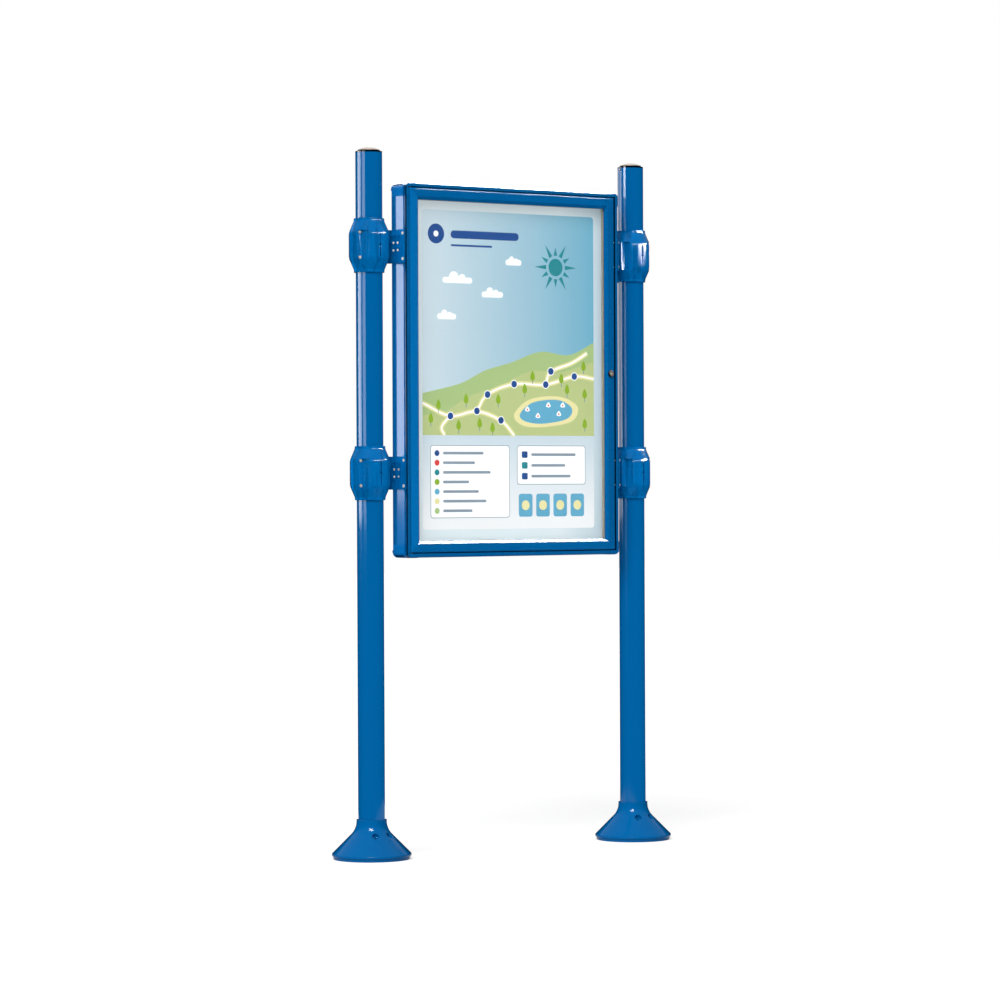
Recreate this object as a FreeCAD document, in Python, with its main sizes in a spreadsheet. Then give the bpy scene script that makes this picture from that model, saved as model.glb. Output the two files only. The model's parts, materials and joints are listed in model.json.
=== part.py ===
import FreeCAD, Part
import math
import os

import Sketcher

# Lockable notice board on two round posts.
# X runs along the board, -Y is the front, +Z is up, millimetres.
# The origin is on the ground midway between the two post axes.

doc = FreeCAD.newDocument("notice_board")
sheet = doc.addObject("Spreadsheet::Sheet", "Sizes")

DRIVING = {
    "post_dia": 80,
    "post_wall": 3,
    "post_top": 2105,
    "post_spacing": 986,
    "plate_dia": 196,
    "plate_thick": 10,
    "anchor_circle": 156,
    "anchor_hole": 14,
    "cover_dia": 238,
    "cover_ring_dia": 232,
    "cover_tall": 118,
    "cover_wall": 5,
    "cover_collar_dia": 91,
    "cover_flare": 52,
    "cover_cone_sum": 135.5,
    "cover_recess_dia": 22,
    "cover_recess_deep": 12,
    "cap_dome": 11.5,
    "cap_disc_dia": 67,
    "cap_neck_dia": 61,
    "clamp_dia": 121,
    "clamp_collar_dia": 91,
    "clamp_half": 80.5,
    "clamp_upper": 1825,
    "clamp_lower": 1148,
    "flange_thick": 5,
    "flange_half": 49.5,
    "case_wide": 799,
    "case_tall": 1120,
    "case_deep": 77,
    "case_foot": 895,
    "case_front": 57,
    "rim": 12,
    "wall": 3,
    "ledge": 5,
    "corner_leg": 40,
    "corner_round": 20,
    "corner_proud": 0.8,
    "door_gap": 3,
    "stile": 34.5,
    "bevel": 9,
    "door_deep": 18,
    "glass_thick": 4,
    "bead_deep": 9.5,
    "hinge_pin_dia": 6,
    "hinge_inset": 6,
    "lock_inset": 16,
    "lock_head_dia": 21,
    "lock_barrel_dia": 16,
    "lock_plug_dia": 11,
    "poster_wide": 730,
    "poster_tall": 1050,
    "poster_depth": 34,
    "panel_thick": 3,
}

for row, (alias, number) in enumerate(DRIVING.items(), 1):
    sheet.set(f"A{row}", alias)
    sheet.set(f"B{row}", str(number))
    sheet.setAlias(f"B{row}", alias)
doc.recompute()


class Size:
    """A length that knows its value and how the sheet works it out."""

    def __init__(self, value, text=None):
        self.value = float(value)
        self.text = text if text is not None else repr(float(value))

    @staticmethod
    def of(other):
        return other if isinstance(other, Size) else Size(other)

    def __add__(self, other):
        other = Size.of(other)
        return Size(self.value + other.value, f"({self.text} + {other.text})")

    def __radd__(self, other):
        return Size.of(other) + self

    def __sub__(self, other):
        other = Size.of(other)
        return Size(self.value - other.value, f"({self.text} - {other.text})")

    def __rsub__(self, other):
        return Size.of(other) - self

    def __mul__(self, other):
        other = Size.of(other)
        return Size(self.value * other.value, f"({self.text} * {other.text})")

    def __rmul__(self, other):
        return Size.of(other) * self

    def __truediv__(self, other):
        other = Size.of(other)
        return Size(self.value / other.value, f"({self.text} / {other.text})")

    def __neg__(self):
        return Size(-self.value, f"(-1 * {self.text})")

    def __float__(self):
        return self.value


def size(alias):
    return Size(DRIVING[alias], f"Sizes.{alias}")


def bind(thing, prop, length):
    length = Size.of(length)
    thing.setExpression(prop, length.text)


# Sizes that several pieces share, worked out from the sheet.
POST_R = size("post_dia") / 2
BORE_R = POST_R - size("post_wall")
POST_X = size("post_spacing") / 2
HALF_WIDE = size("case_wide") / 2
FRONT = -size("case_front")
REAR = FRONT + size("case_deep")
FOOT = size("case_foot")
TOP = FOOT + size("case_tall")
MIDDLE = FOOT + size("case_tall") / 2
SEAT_GAP = Size(0.15)
DOOR_INSET = size("rim") + size("door_gap")
DOOR_HALF = HALF_WIDE - DOOR_INSET
DOOR_FOOT = FOOT + DOOR_INSET
DOOR_TOP = TOP - DOOR_INSET
DOOR_BACK = FRONT + size("door_deep")
HINGE_X = -DOOR_HALF + size("hinge_inset")
HINGE_Y = FRONT + 6.5
LOCK_X = DOOR_HALF - size("lock_inset")
SIDES = {"left": -1, "right": 1}
LEVELS = {"upper": size("clamp_upper"), "lower": size("clamp_lower")}

nodes = []


def new_body(name):
    made = doc.addObject("PartDesign::Body", name)
    made.Label = name
    nodes.append(made)
    return made


def origin_plane(body, role):
    for feature in body.Origin.OriginFeatures:
        if feature.Role == role:
            return feature
    raise ValueError(role)


def new_sketch(body, role, lift):
    made = body.newObject("Sketcher::SketchObject", f"{body.Name}_sketch")
    made.AttachmentSupport = (origin_plane(body, role), [""])
    made.MapMode = "FlatFace"
    lift = Size.of(lift)
    made.AttachmentOffset = FreeCAD.Placement(
        FreeCAD.Vector(0, 0, lift.value), FreeCAD.Rotation()
    )
    bind(made, "AttachmentOffset.Base.z", lift)
    return made


def pin(sketch, geo, point, across, up):
    """Holds one point of a sketch at a place that follows the sheet."""
    for kind, length in (("DistanceX", across), ("DistanceY", up)):
        length = Size.of(length)
        index = sketch.addConstraint(
            Sketcher.Constraint(kind, -1, 1, geo, point, length.value)
        )
        sketch.setExpression(f"Constraints[{index}]", length.text)


def rounding(before, corner, after, radius):
    """Tangent points, centre and turn of the arc that rounds one corner."""
    to_before = (before - corner).normalize()
    to_after = (after - corner).normalize()
    half = to_before.getAngle(to_after) / 2
    reach = radius / math.tan(half)
    centre = corner + (to_before + to_after).normalize() * (radius / math.sin(half))
    turn = (corner - before).cross(after - corner).z
    return corner + to_before * reach, corner + to_after * reach, centre, turn


def arc_between(first, last, centre, radius):
    start = math.atan2(first.y - centre.y, first.x - centre.x)
    end = math.atan2(last.y - centre.y, last.x - centre.x)
    if end < start:
        end += 2 * math.pi
    circle = Part.Circle(centre, FreeCAD.Vector(0, 0, 1), radius)
    return Part.ArcOfCircle(circle, start, end)


def draw(body, role, outline, lift=0):
    """A closed outline of corners (across, up) or (across, up, radius)."""
    sketch = new_sketch(body, role, lift)
    corners = [FreeCAD.Vector(float(c[0]), float(c[1]), 0) for c in outline]
    count = len(corners)
    starts, ends, arcs = list(corners), list(corners), {}
    for i, corner in enumerate(outline):
        if len(corner) == 3:
            radius = float(corner[2])
            enter, leave, centre, turn = rounding(
                corners[i - 1], corners[i], corners[(i + 1) % count], radius
            )
            ends[i], starts[i] = enter, leave
            arcs[i] = (centre, turn, radius)
    lines = [
        sketch.addGeometry(Part.LineSegment(starts[i], ends[(i + 1) % count]))
        for i in range(count)
    ]
    for i, corner in enumerate(outline):
        before, after = lines[i - 1], lines[i]
        if i not in arcs:
            sketch.addConstraint(Sketcher.Constraint("Coincident", before, 2, after, 1))
            pin(sketch, after, 1, corner[0], corner[1])
            continue
        centre, turn, radius = arcs[i]
        first, last = (ends[i], starts[i]) if turn > 0 else (starts[i], ends[i])
        arc = sketch.addGeometry(arc_between(first, last, centre, radius))
        enter, leave = (1, 2) if turn > 0 else (2, 1)
        sketch.addConstraint(Sketcher.Constraint("Tangent", before, 2, arc, enter))
        sketch.addConstraint(Sketcher.Constraint("Tangent", arc, leave, after, 1))
        mark = sketch.addGeometry(Part.Point(corners[i]), True)
        pin(sketch, mark, 1, corner[0], corner[1])
        sketch.addConstraint(Sketcher.Constraint("PointOnObject", mark, 1, before))
        sketch.addConstraint(Sketcher.Constraint("PointOnObject", mark, 1, after))
        index = sketch.addConstraint(Sketcher.Constraint("Radius", arc, radius))
        sketch.setExpression(f"Constraints[{index}]", Size.of(corner[2]).text)
    return sketch


def draw_circles(body, role, circles, lift=0):
    """Circles (across, up, radius) in one sketch."""
    sketch = new_sketch(body, role, lift)
    for across, up, radius in circles:
        centre = FreeCAD.Vector(float(across), float(up), 0)
        circle = Part.Circle(centre, FreeCAD.Vector(0, 0, 1), float(radius))
        geo = sketch.addGeometry(circle)
        pin(sketch, geo, 3, across, up)
        index = sketch.addConstraint(Sketcher.Constraint("Radius", geo, float(radius)))
        sketch.setExpression(f"Constraints[{index}]", Size.of(radius).text)
    return sketch


def pad(body, sketch, length, reverse=False):
    made = body.newObject("PartDesign::Pad", f"{body.Name}_pad")
    made.Profile = sketch
    made.Length = float(length)
    bind(made, "Length", length)
    made.Reversed = reverse
    return made


def pocket(body, sketch, depth, reverse=False):
    """Cuts the sketch away from its plane, against the plane's normal."""
    doc.recompute()
    before = body.Shape.Volume
    made = body.newObject("PartDesign::Pocket", f"{body.Name}_pocket")
    made.Profile = sketch
    made.Length = float(depth)
    bind(made, "Length", depth)
    made.Reversed = reverse
    doc.recompute()
    if body.Shape.Volume > before - 0.01:
        raise ValueError(f"a pocket of {body.Label} cuts nothing")
    return made


def revolve(body, sketch, angle=360, reverse=False):
    made = body.newObject("PartDesign::Revolution", f"{body.Name}_turn")
    made.Profile = sketch
    made.ReferenceAxis = (sketch, ["V_Axis"])
    made.Angle = angle
    made.Reversed = reverse
    return made


def move(body, across=0, back=0, up=0):
    for axis, length in (("x", across), ("y", back), ("z", up)):
        bind(body, f"Placement.Base.{axis}", length)


def rectangle(low_a, high_a, low_b, high_b):
    return [(low_a, low_b), (high_a, low_b), (high_a, high_b), (low_a, high_b)]


def block(name, low_x, high_x, low_y, high_y, low_z, high_z):
    body = new_body(name)
    outline = rectangle(low_x, high_x, low_y, high_y)
    pad(body, draw(body, "XY_Plane", outline, low_z), Size.of(high_z) - low_z)
    return body


def screws(name, places, axis, head_r, head_h, shank_r, shank_l):
    """Separate fasteners in one node; the head points against the axis."""
    axis = FreeCAD.Vector(*axis)
    solids = []
    for place in places:
        seat = FreeCAD.Vector(*[float(value) for value in place])
        head = Part.makeCylinder(head_r, head_h, seat - axis * head_h, axis)
        shank = Part.makeCylinder(shank_r, shank_l, seat, axis)
        solids.append(head.fuse(shank).removeSplitter())
    made = doc.addObject("Part::Feature", name)
    made.Label = name
    made.Shape = Part.makeCompound(solids)
    nodes.append(made)
    return made


# Posts: tubes welded on round base plates, hidden under cast covers.

def base_plate(side, sign):
    body = new_body(f"{side}_base_plate")
    plate_r = size("plate_dia") / 2
    pad(body, draw_circles(body, "XY_Plane", [(0, 0, plate_r)]), size("plate_thick"))
    reach = size("anchor_circle") / 2 * math.sqrt(0.5)
    holes = [
        (reach * across, reach * back, size("anchor_hole") / 2)
        for across in (-1, 1)
        for back in (-1, 1)
    ]
    sketch = draw_circles(body, "XY_Plane", holes, size("plate_thick"))
    pocket(body, sketch, size("plate_thick"))
    move(body, POST_X * sign)


CAP_NECK_TALL = 3
CAP_DISC_EDGE = 1.5
CAP_DOME_ROUND = 58
CAP_RIVET_DROP = 9
CAP_RIVET_R = 2
CAP_RIVET_LONG = 9


def cap_rivet_hole(body, sign):
    """Drills the side that faces the case, just below the top of the post."""
    spot = [(Size(0), size("post_top") - CAP_RIVET_DROP, CAP_RIVET_R + 0.1)]
    sketch = draw_circles(body, "YZ_Plane", spot, (POST_R + 1) * -sign)
    pocket(body, sketch, Size(CAP_RIVET_LONG + 2), reverse=(sign > 0))


def cap_rivets():
    for side, sign in SIDES.items():
        spots = [(float(POST_X - POST_R) * sign, 0, DRIVING["post_top"] - CAP_RIVET_DROP)]
        screws(f"{side}_cap_rivet", spots, (sign, 0, 0), 3.5, 1.5, CAP_RIVET_R, CAP_RIVET_LONG)


def post(side, sign):
    body = new_body(f"{side}_post")
    tall = size("post_top") - size("plate_thick")
    rings = [(0, 0, POST_R), (0, 0, BORE_R)]
    pad(body, draw_circles(body, "XY_Plane", rings, size("plate_thick")), tall)
    cap_rivet_hole(body, sign)
    move(body, POST_X * sign)


def post_cap(side, sign):
    """An aluminium plug, flush with the tube, with a domed disc on a short neck."""
    body = new_body(f"{side}_post_cap")
    plug_r = BORE_R - 0.1
    disc_r = size("cap_disc_dia") / 2
    neck_r = size("cap_neck_dia") / 2
    top = size("post_top")
    outline = [
        (0, top - 20),
        (plug_r, top - 20),
        (plug_r, top),
        (neck_r, top),
        (neck_r, top + CAP_NECK_TALL),
        (disc_r, top + CAP_NECK_TALL),
        (disc_r, top + CAP_NECK_TALL + CAP_DISC_EDGE, 0.7),
        (disc_r / 2, top + size("cap_dome"), CAP_DOME_ROUND),
        (0, top + size("cap_dome")),
    ]
    revolve(body, draw(body, "XZ_Plane", outline))
    cap_rivet_hole(body, sign)
    move(body, POST_X * sign)


COVER_SCREW_ANGLES = (-112.5, -67.5, 67.5, 112.5)
RECESS_OUT = 63
COVER_SCREW_R = 4
COVER_SCREW_LONG = 15.2
COVER_SCREW_SUNK = 1
RING_TALL = 10


def recess_axis(angle):
    """Unit vector that points out of the cone at one cover screw."""
    turn = math.radians(angle)
    slope = math.sqrt(0.5)
    return FreeCAD.Vector(math.cos(turn) * slope, math.sin(turn) * slope, slope)


def recess_mouth(angle):
    """Point of the cone's surface at the middle of one screw recess."""
    turn = math.radians(angle)
    up = DRIVING["cover_cone_sum"] - RECESS_OUT
    return FreeCAD.Vector(math.cos(turn) * RECESS_OUT, math.sin(turn) * RECESS_OUT, up)


def base_cover(side, sign):
    """The cast cone that slides down the post over the base plate."""
    body = new_body(f"{side}_base_cover")
    bore = POST_R + 0.25
    collar = size("cover_collar_dia") / 2
    ring = size("cover_ring_dia") / 2
    rim = size("cover_dia") / 2
    inside = ring - size("cover_wall")
    total = size("cover_cone_sum")
    inner_sum = total - size("cover_wall") * math.sqrt(2)
    hub_foot = Size(50)
    outline = [
        (bore, hub_foot),
        (inner_sum - hub_foot, hub_foot),
        (inside, inner_sum - inside),
        (inside, 0),
        (ring - 2, 0, 1),
        (ring, RING_TALL),
        (rim, RING_TALL, 1),
        (rim, total - rim, 4),
        (collar, total - collar, size("cover_flare")),
        (collar, size("cover_tall"), 1.5),
        (bore, size("cover_tall")),
    ]
    revolve(body, draw(body, "XZ_Plane", outline))
    doc.recompute()
    tools = []
    for angle in COVER_SCREW_ANGLES:
        out = recess_axis(angle)
        mouth = recess_mouth(angle)
        deep = DRIVING["cover_recess_deep"]
        spot_r = DRIVING["cover_recess_dia"] / 2
        tools.append(Part.makeCylinder(spot_r, deep + 20, mouth - out * deep, out))
        tools.append(Part.makeCylinder(COVER_SCREW_R, 65, mouth - out * 50, out))
    cutter = doc.addObject("Part::Feature", f"{side}_cover_drill")
    cutter.Shape = tools[0].multiFuse(tools[1:])
    cut = doc.addObject("Part::Cut", f"{side}_cover_cut")
    cut.Base = body
    cut.Tool = cutter
    body.Label = f"{side}_cover_casting"
    nodes.remove(body)
    cut.Label = f"{side}_base_cover"
    nodes.append(cut)
    bind(cut, "Placement.Base.x", POST_X * sign)


def cover_screws(side, sign):
    """Socket set screws, sunk in the recesses, that grip the post."""
    solids = []
    shift = FreeCAD.Vector(float(POST_X * sign), 0, 0)
    for angle in COVER_SCREW_ANGLES:
        out = recess_axis(angle)
        mouth = recess_mouth(angle) + shift
        deep = DRIVING["cover_recess_deep"]
        head = mouth - out * (deep + COVER_SCREW_SUNK)
        tail = head - out * COVER_SCREW_LONG
        screw = Part.makeCylinder(COVER_SCREW_R - 0.02, COVER_SCREW_LONG, tail, out)
        socket = Part.makeCylinder(2.2, 5, head - out * 4, out)
        solids.append(screw.cut(socket))
    made = doc.addObject("Part::Feature", f"{side}_cover_screws")
    made.Label = f"{side}_cover_screws"
    made.Shape = Part.makeCompound(solids)
    nodes.append(made)


# Clamps: each is a cast front shell bolted to a rear shell whose arm ends in
# a thin flange on the side wall of the case.

BARREL_R = size("clamp_dia") / 2
COLLAR_R = size("clamp_collar_dia") / 2
CLAMP_HALF = size("clamp_half")
CLAMP_BORE = POST_R + SEAT_GAP
POCKET_ROOT_X = Size(43)
POCKET_MOUTH_X = Size(29.7)
POCKET_FLOOR = Size(24)
POCKET_HALF = Size(43)
BOLT_X = Size(50)
BOLT_Z = Size(37)
SPLIT = Size(0.5)
GROOVE_HALF = Size(1.8)
GROOVE_DEEP = Size(7)
SEAM_HALF = Size(34)
SEAM_DEEP = Size(2.5)
SET_SCREW_R = 4
SET_SCREW_LONG = 10
HOOK_NEAR = Size(45)
HOOK_FAR = Size(50)
HOOK_HALF = Size(28)
CASE_REACH = POST_X - HALF_WIDE
FLANGE_REAR = REAR + 8
FLANGE_FRONT = FRONT + 3


def barrel_outline():
    """Half section of the barrel: collars, long S curves, straight middle."""
    shoulder = Size(72.8)
    belly = Size(37.6)
    return [
        (CLAMP_BORE, -CLAMP_HALF),
        (COLLAR_R, -CLAMP_HALF, 1),
        (COLLAR_R, -shoulder, 18),
        (BARREL_R, -belly, 35),
        (BARREL_R, belly, 35),
        (COLLAR_R, shoulder, 18),
        (COLLAR_R, CLAMP_HALF, 1),
        (CLAMP_BORE, CLAMP_HALF),
    ]


def clamp_front(side, sign, level, height):
    """Front half: side pockets, front groove, screw ears and a hook."""
    body = new_body(f"{side}_{level}_clamp_front")
    revolve(body, draw(body, "XZ_Plane", barrel_outline()), 180, reverse=True)
    away = BARREL_R + 2
    for hand in (-1, 1):
        outline = [
            (POCKET_MOUTH_X * hand, -away),
            (away * hand, -away),
            (away * hand, -POCKET_FLOOR),
            (POCKET_ROOT_X * hand, -POCKET_FLOOR, 3),
        ]
        sketch = draw(body, "XY_Plane", outline, POCKET_HALF)
        pocket(body, sketch, POCKET_HALF * 2)
    slab = rectangle(-away, away, -SPLIT, away)
    pocket(body, draw(body, "XY_Plane", slab, CLAMP_HALF), CLAMP_HALF * 2)
    groove = rectangle(-GROOVE_HALF, GROOVE_HALF, -away, -(BARREL_R - GROOVE_DEEP))
    pocket(body, draw(body, "XY_Plane", groove, SEAM_HALF), SEAM_HALF * 2)
    front_screw = [(0, 0, SET_SCREW_R)]
    pocket(body, draw_circles(body, "XZ_Plane", front_screw, away), away - BORE_R)
    outer = sign
    bolts = [(BOLT_X * outer, BOLT_Z * up, 2.6) for up in (-1, 1)]
    pocket(body, draw_circles(body, "XZ_Plane", bolts, POCKET_FLOOR + 2), POCKET_FLOOR + 4)
    seam = rectangle((BARREL_R - SEAM_DEEP) * outer, away * outer, Size(-3), Size(2))
    pocket(body, draw(body, "XY_Plane", seam, SEAM_HALF), SEAM_HALF * 2)
    hook = rectangle(-HOOK_FAR * outer, -HOOK_NEAR * outer, Size(-6), Size(6))
    pad(body, draw(body, "XY_Plane", hook, -HOOK_HALF), HOOK_HALF * 2)
    move(body, POST_X * sign, 0, height)


def clamp_rear(side, sign, level, height):
    """Rear half with the arm and the flange that carries the case."""
    body = new_body(f"{side}_{level}_clamp_bracket")
    revolve(body, draw(body, "XZ_Plane", barrel_outline()), 180)
    away = BARREL_R + 2
    slab = rectangle(-away, away, -away, SPLIT)
    pocket(body, draw(body, "XY_Plane", slab, CLAMP_HALF), CLAMP_HALF * 2)
    inward = -sign
    flange_face = CASE_REACH - size("flange_thick")
    arm = [
        (Size(44) * inward, Size(4)),
        (flange_face * inward, Size(6), 9),
        (flange_face * inward, FLANGE_FRONT),
        (CASE_REACH * inward, FLANGE_FRONT),
        (CASE_REACH * inward, FLANGE_REAR),
        ((flange_face - 6) * inward, FLANGE_REAR, 5),
        (Size(40) * inward, Size(36)),
    ]
    pad(body, draw(body, "XY_Plane", arm, -size("flange_half")), size("flange_half") * 2)
    shallow = rectangle(Size(-31), Size(5), Size(-30), Size(30))
    sketch = draw(body, "YZ_Plane", shallow, (flange_face + 1) * inward)
    pocket(body, sketch, Size(12), reverse=(inward < 0))
    holes = flange_holes()
    through = draw_circles(body, "YZ_Plane", holes, CASE_REACH * inward)
    pocket(body, through, size("flange_thick") + 1, reverse=(inward < 0))
    outer = sign
    bolts = [(BOLT_X * outer, BOLT_Z * up, 2.5) for up in (-1, 1)]
    pocket(body, draw_circles(body, "XZ_Plane", bolts, 0), Size(22))
    seam = rectangle((BARREL_R - SEAM_DEEP) * outer, away * outer, Size(-2), Size(3))
    pocket(body, draw(body, "XY_Plane", seam, SEAM_HALF), SEAM_HALF * 2)
    near = -(HOOK_NEAR - 0.3) * outer
    far = -(HOOK_FAR + 0.3) * outer
    slot = rectangle(far, near, Size(0), Size(6.5))
    pocket(body, draw(body, "XY_Plane", slot, HOOK_HALF + 0.5), HOOK_HALF * 2 + 1)
    move(body, POST_X * sign, 0, height)


FLANGE_SCREW_Y = -49
FLANGE_SCREW_Z = 38
FLANGE_SCREW_R = 2.5
FLANGE_SCREW_LONG = 15
SMALL_SCREW_COLUMNS = (-21, 1.5)
SMALL_SCREW_Z = 11
SMALL_SCREW_R = 2
SMALL_SCREW_LONG = 9
HOLE_PLAY = 0.1


def flange_holes(up_by=0):
    """Holes that the flange and the side wall share, as (y, z, radius)."""
    big = [
        (Size(FLANGE_SCREW_Y), Size.of(up_by) + FLANGE_SCREW_Z * up, FLANGE_SCREW_R + HOLE_PLAY)
        for up in (-1, 1)
    ]
    small = [
        (Size(back), Size.of(up_by) + SMALL_SCREW_Z * up, SMALL_SCREW_R + HOLE_PLAY)
        for back in SMALL_SCREW_COLUMNS
        for up in (-1, 1)
    ]
    return big + small


def clamp_fasteners():
    bolts, sets, big, small = [], [], {-1: [], 1: []}, {-1: [], 1: []}
    for sign in SIDES.values():
        for height in LEVELS.values():
            x = float(POST_X * sign)
            z = float(height)
            for up in (-1, 1):
                bolts.append((x + float(BOLT_X) * sign, -float(POCKET_FLOOR), z + float(BOLT_Z) * up))
                face = float(HALF_WIDE + size("flange_thick")) * sign
                big[sign].append((face, FLANGE_SCREW_Y, z + FLANGE_SCREW_Z * up))
                for back in SMALL_SCREW_COLUMNS:
                    seat = (float(HALF_WIDE) + 4) * sign
                    small[sign].append((seat, back, z + SMALL_SCREW_Z * up))
            sets.append((x, -float(POST_R) - SET_SCREW_LONG, z))
    screws("clamp_bolts", bolts, (0, 1, 0), 4, 3, 2.5, 44)
    screws("clamp_set_screws", sets, (0, 1, 0), 3.9, 0.4, 3.9, SET_SCREW_LONG)
    for side, sign in SIDES.items():
        inward = (-sign, 0, 0)
        screws(f"{side}_flange_screws", big[sign], inward, 4.5, 2.5,
               FLANGE_SCREW_R, FLANGE_SCREW_LONG)
        screws(f"{side}_flange_rivets", small[sign], inward, 3.5, 1.8,
               SMALL_SCREW_R, SMALL_SCREW_LONG)


# Case: extruded side walls with moulded corners.

def case_section(proud=0):
    """Section of the case wall: across from the outside, back from the front."""
    rim = size("rim")
    wall = size("wall")
    deep = size("case_deep")
    return [
        (Size(-proud), Size(3.5 - proud)),
        (Size(3.5 - proud), Size(-proud)),
        (rim, Size(-proud), 1),
        (rim, Size(20.5)),
        (rim + size("ledge"), Size(20.5)),
        (rim + size("ledge"), Size(23)),
        (wall, Size(23)),
        (wall, deep - 3),
        (Size(22), deep - 3),
        (Size(22), deep),
        (Size(1.5), deep),
        (Size(1.5), deep - 10),
        (Size(-proud), deep - 10),
        (Size(-proud), Size(13)),
        (Size(4), Size(13)),
        (Size(4), Size(5)),
        (Size(-proud), Size(5)),
    ]


def upright_section(sign, proud=0):
    return [
        ((HALF_WIDE - c[0]) * sign, FRONT + c[1]) + tuple(c[2:])
        for c in case_section(proud)
    ]


def level_section(top, proud=0):
    if top:
        return [(FRONT + c[1], TOP - c[0]) + tuple(c[2:]) for c in case_section(proud)]
    return [(FRONT + c[1], FOOT + c[0]) + tuple(c[2:]) for c in case_section(proud)]


# Rivets that hold the back panel to the rear flange, as (x, z).
RIVET_INSET = Size(15)
RIVET_PITCH = Size(250)
RIVET_R = 2
RIVET_SPOTS = [
    ((HALF_WIDE - RIVET_INSET) * sign, FOOT + 60 + RIVET_PITCH * step)
    for sign in SIDES.values()
    for step in range(5)
] + [
    (RIVET_PITCH * step, row)
    for row in (FOOT + RIVET_INSET, TOP - RIVET_INSET)
    for step in (-1, 0, 1)
]


def drill_rivet_holes(body, spots):
    """Rivet holes from the rear face; a sketch's up is Z and its normal is -Y."""
    holes = [(across, up, RIVET_R + HOLE_PLAY) for across, up in spots]
    pocket(body, draw_circles(body, "XZ_Plane", holes, -REAR), Size(7), reverse=True)


def case_walls():
    leg = size("corner_leg")
    for side, sign in SIDES.items():
        body = new_body(f"case_{side}_wall")
        sketch = draw(body, "XY_Plane", upright_section(sign), FOOT + leg)
        pad(body, sketch, size("case_tall") - leg * 2)
        for height in LEVELS.values():
            holes = draw_circles(body, "YZ_Plane", flange_holes(height), HALF_WIDE * sign)
            pocket(body, holes, size("rim") + 1, reverse=(sign < 0))
        drill_rivet_holes(body, [spot for spot in RIVET_SPOTS if spot[0].value * sign > 300])
    for end, top in (("top", True), ("bottom", False)):
        body = new_body(f"case_{end}_wall")
        sketch = draw(body, "YZ_Plane", level_section(top), -HALF_WIDE + leg)
        pad(body, sketch, size("case_wide") - leg * 2)
        row = TOP - RIVET_INSET if top else FOOT + RIVET_INSET
        drill_rivet_holes(body, [spot for spot in RIVET_SPOTS if spot[1].value == row.value])


def case_corner(side, sign, end, top):
    """A moulded corner, a little proud of the walls, rounded outside."""
    proud = DRIVING["corner_proud"]
    leg = size("corner_leg")
    body = new_body(f"case_{end}_{side}_corner")
    edge = (HALF_WIDE + proud) * sign
    start = edge if sign < 0 else edge - leg - proud
    pad(body, draw(body, "YZ_Plane", level_section(top, proud), start), leg + proud)
    foot = TOP - leg if top else FOOT - proud
    pad(body, draw(body, "XY_Plane", upright_section(sign, proud), foot), leg + proud)
    crest = TOP + proud if top else FOOT - proud
    step = -1 if top else 1
    sliver = corner_rounding(body, edge, crest, size("corner_round"), -sign, step)
    pocket(body, sliver, size("case_deep") + 10)
    pin_r = size("hinge_pin_dia") / 2
    if sign < 0:
        hole = draw_circles(body, "XY_Plane", [(HINGE_X, HINGE_Y, pin_r + 0.02)],
                            TOP - size("rim") if top else FOOT + size("rim"))
        pocket(body, hole, Size(9), reverse=top)


def corner_rounding(body, across, up, radius, inward, upward):
    """The sliver outside a quarter circle, to be cut through the depth."""
    sketch = new_sketch(body, "XZ_Plane", size("case_front") + 5)
    over = 3
    start = (across + radius * inward, up)
    end = (across, up + radius * upward)
    far_a = across - over * inward
    far_u = up - over * upward
    spots = [start, (start[0], far_u), (far_a, far_u), (far_a, end[1]), end]
    points = [FreeCAD.Vector(float(a), float(u), 0) for a, u in spots]
    centre = (across + radius * inward, up + radius * upward)
    middle = FreeCAD.Vector(float(centre[0]), float(centre[1]), 0)
    for first, last in zip(points[:-1], points[1:]):
        sketch.addGeometry(Part.LineSegment(first, last))
    turn = (points[0] - middle).cross(points[-1] - middle).z
    ordered = (points[0], points[-1]) if turn > 0 else (points[-1], points[0])
    arc = sketch.addGeometry(arc_between(ordered[0], ordered[1], middle, float(radius)))
    for i in range(3):
        sketch.addConstraint(Sketcher.Constraint("Coincident", i, 2, i + 1, 1))
    near, far = (1, 2) if turn > 0 else (2, 1)
    sketch.addConstraint(Sketcher.Constraint("Coincident", 0, 1, arc, near))
    sketch.addConstraint(Sketcher.Constraint("Coincident", 3, 2, arc, far))
    pin(sketch, arc, 3, centre[0], centre[1])
    pin(sketch, 0, 1, start[0], start[1])
    pin(sketch, 1, 1, spots[1][0], spots[1][1])
    pin(sketch, 2, 1, spots[2][0], spots[2][1])
    pin(sketch, 3, 1, spots[3][0], spots[3][1])
    sketch.addConstraint(Sketcher.Constraint("Horizontal", 3))
    return sketch


def back_parts():
    """Back panel on the rear flange, and the white panel that holds posters."""
    back = REAR - 6
    edge = 8
    panel = block("back_panel", -(HALF_WIDE - edge), HALF_WIDE - edge, back, REAR - 3,
                  FOOT + edge, TOP - edge)
    drill_rivet_holes(panel, RIVET_SPOTS)
    inset = 24
    half = HALF_WIDE - inset
    face = FRONT + size("poster_depth")
    panel_back = face + size("panel_thick")
    low = FOOT + inset
    high = TOP - inset
    block("display_panel", -half, half, face, panel_back, low, high)
    for side, sign in SIDES.items():
        near = (half - 60) * sign
        far = (half - 80) * sign
        pair = (near, far) if sign < 0 else (far, near)
        block(f"{side}_panel_spacer", pair[0], pair[1], panel_back, back, low, high)
    wide = size("poster_wide") / 2
    tall = size("poster_tall") / 2
    block("poster_sheet", -wide, wide, face - 0.8, face, MIDDLE - tall, MIDDLE + tall)
    rivets = [(across, REAR, up) for across, up in RIVET_SPOTS]
    screws("back_panel_rivets", rivets, (0, -1, 0), 4, 1.2, RIVET_R, 6)


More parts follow.
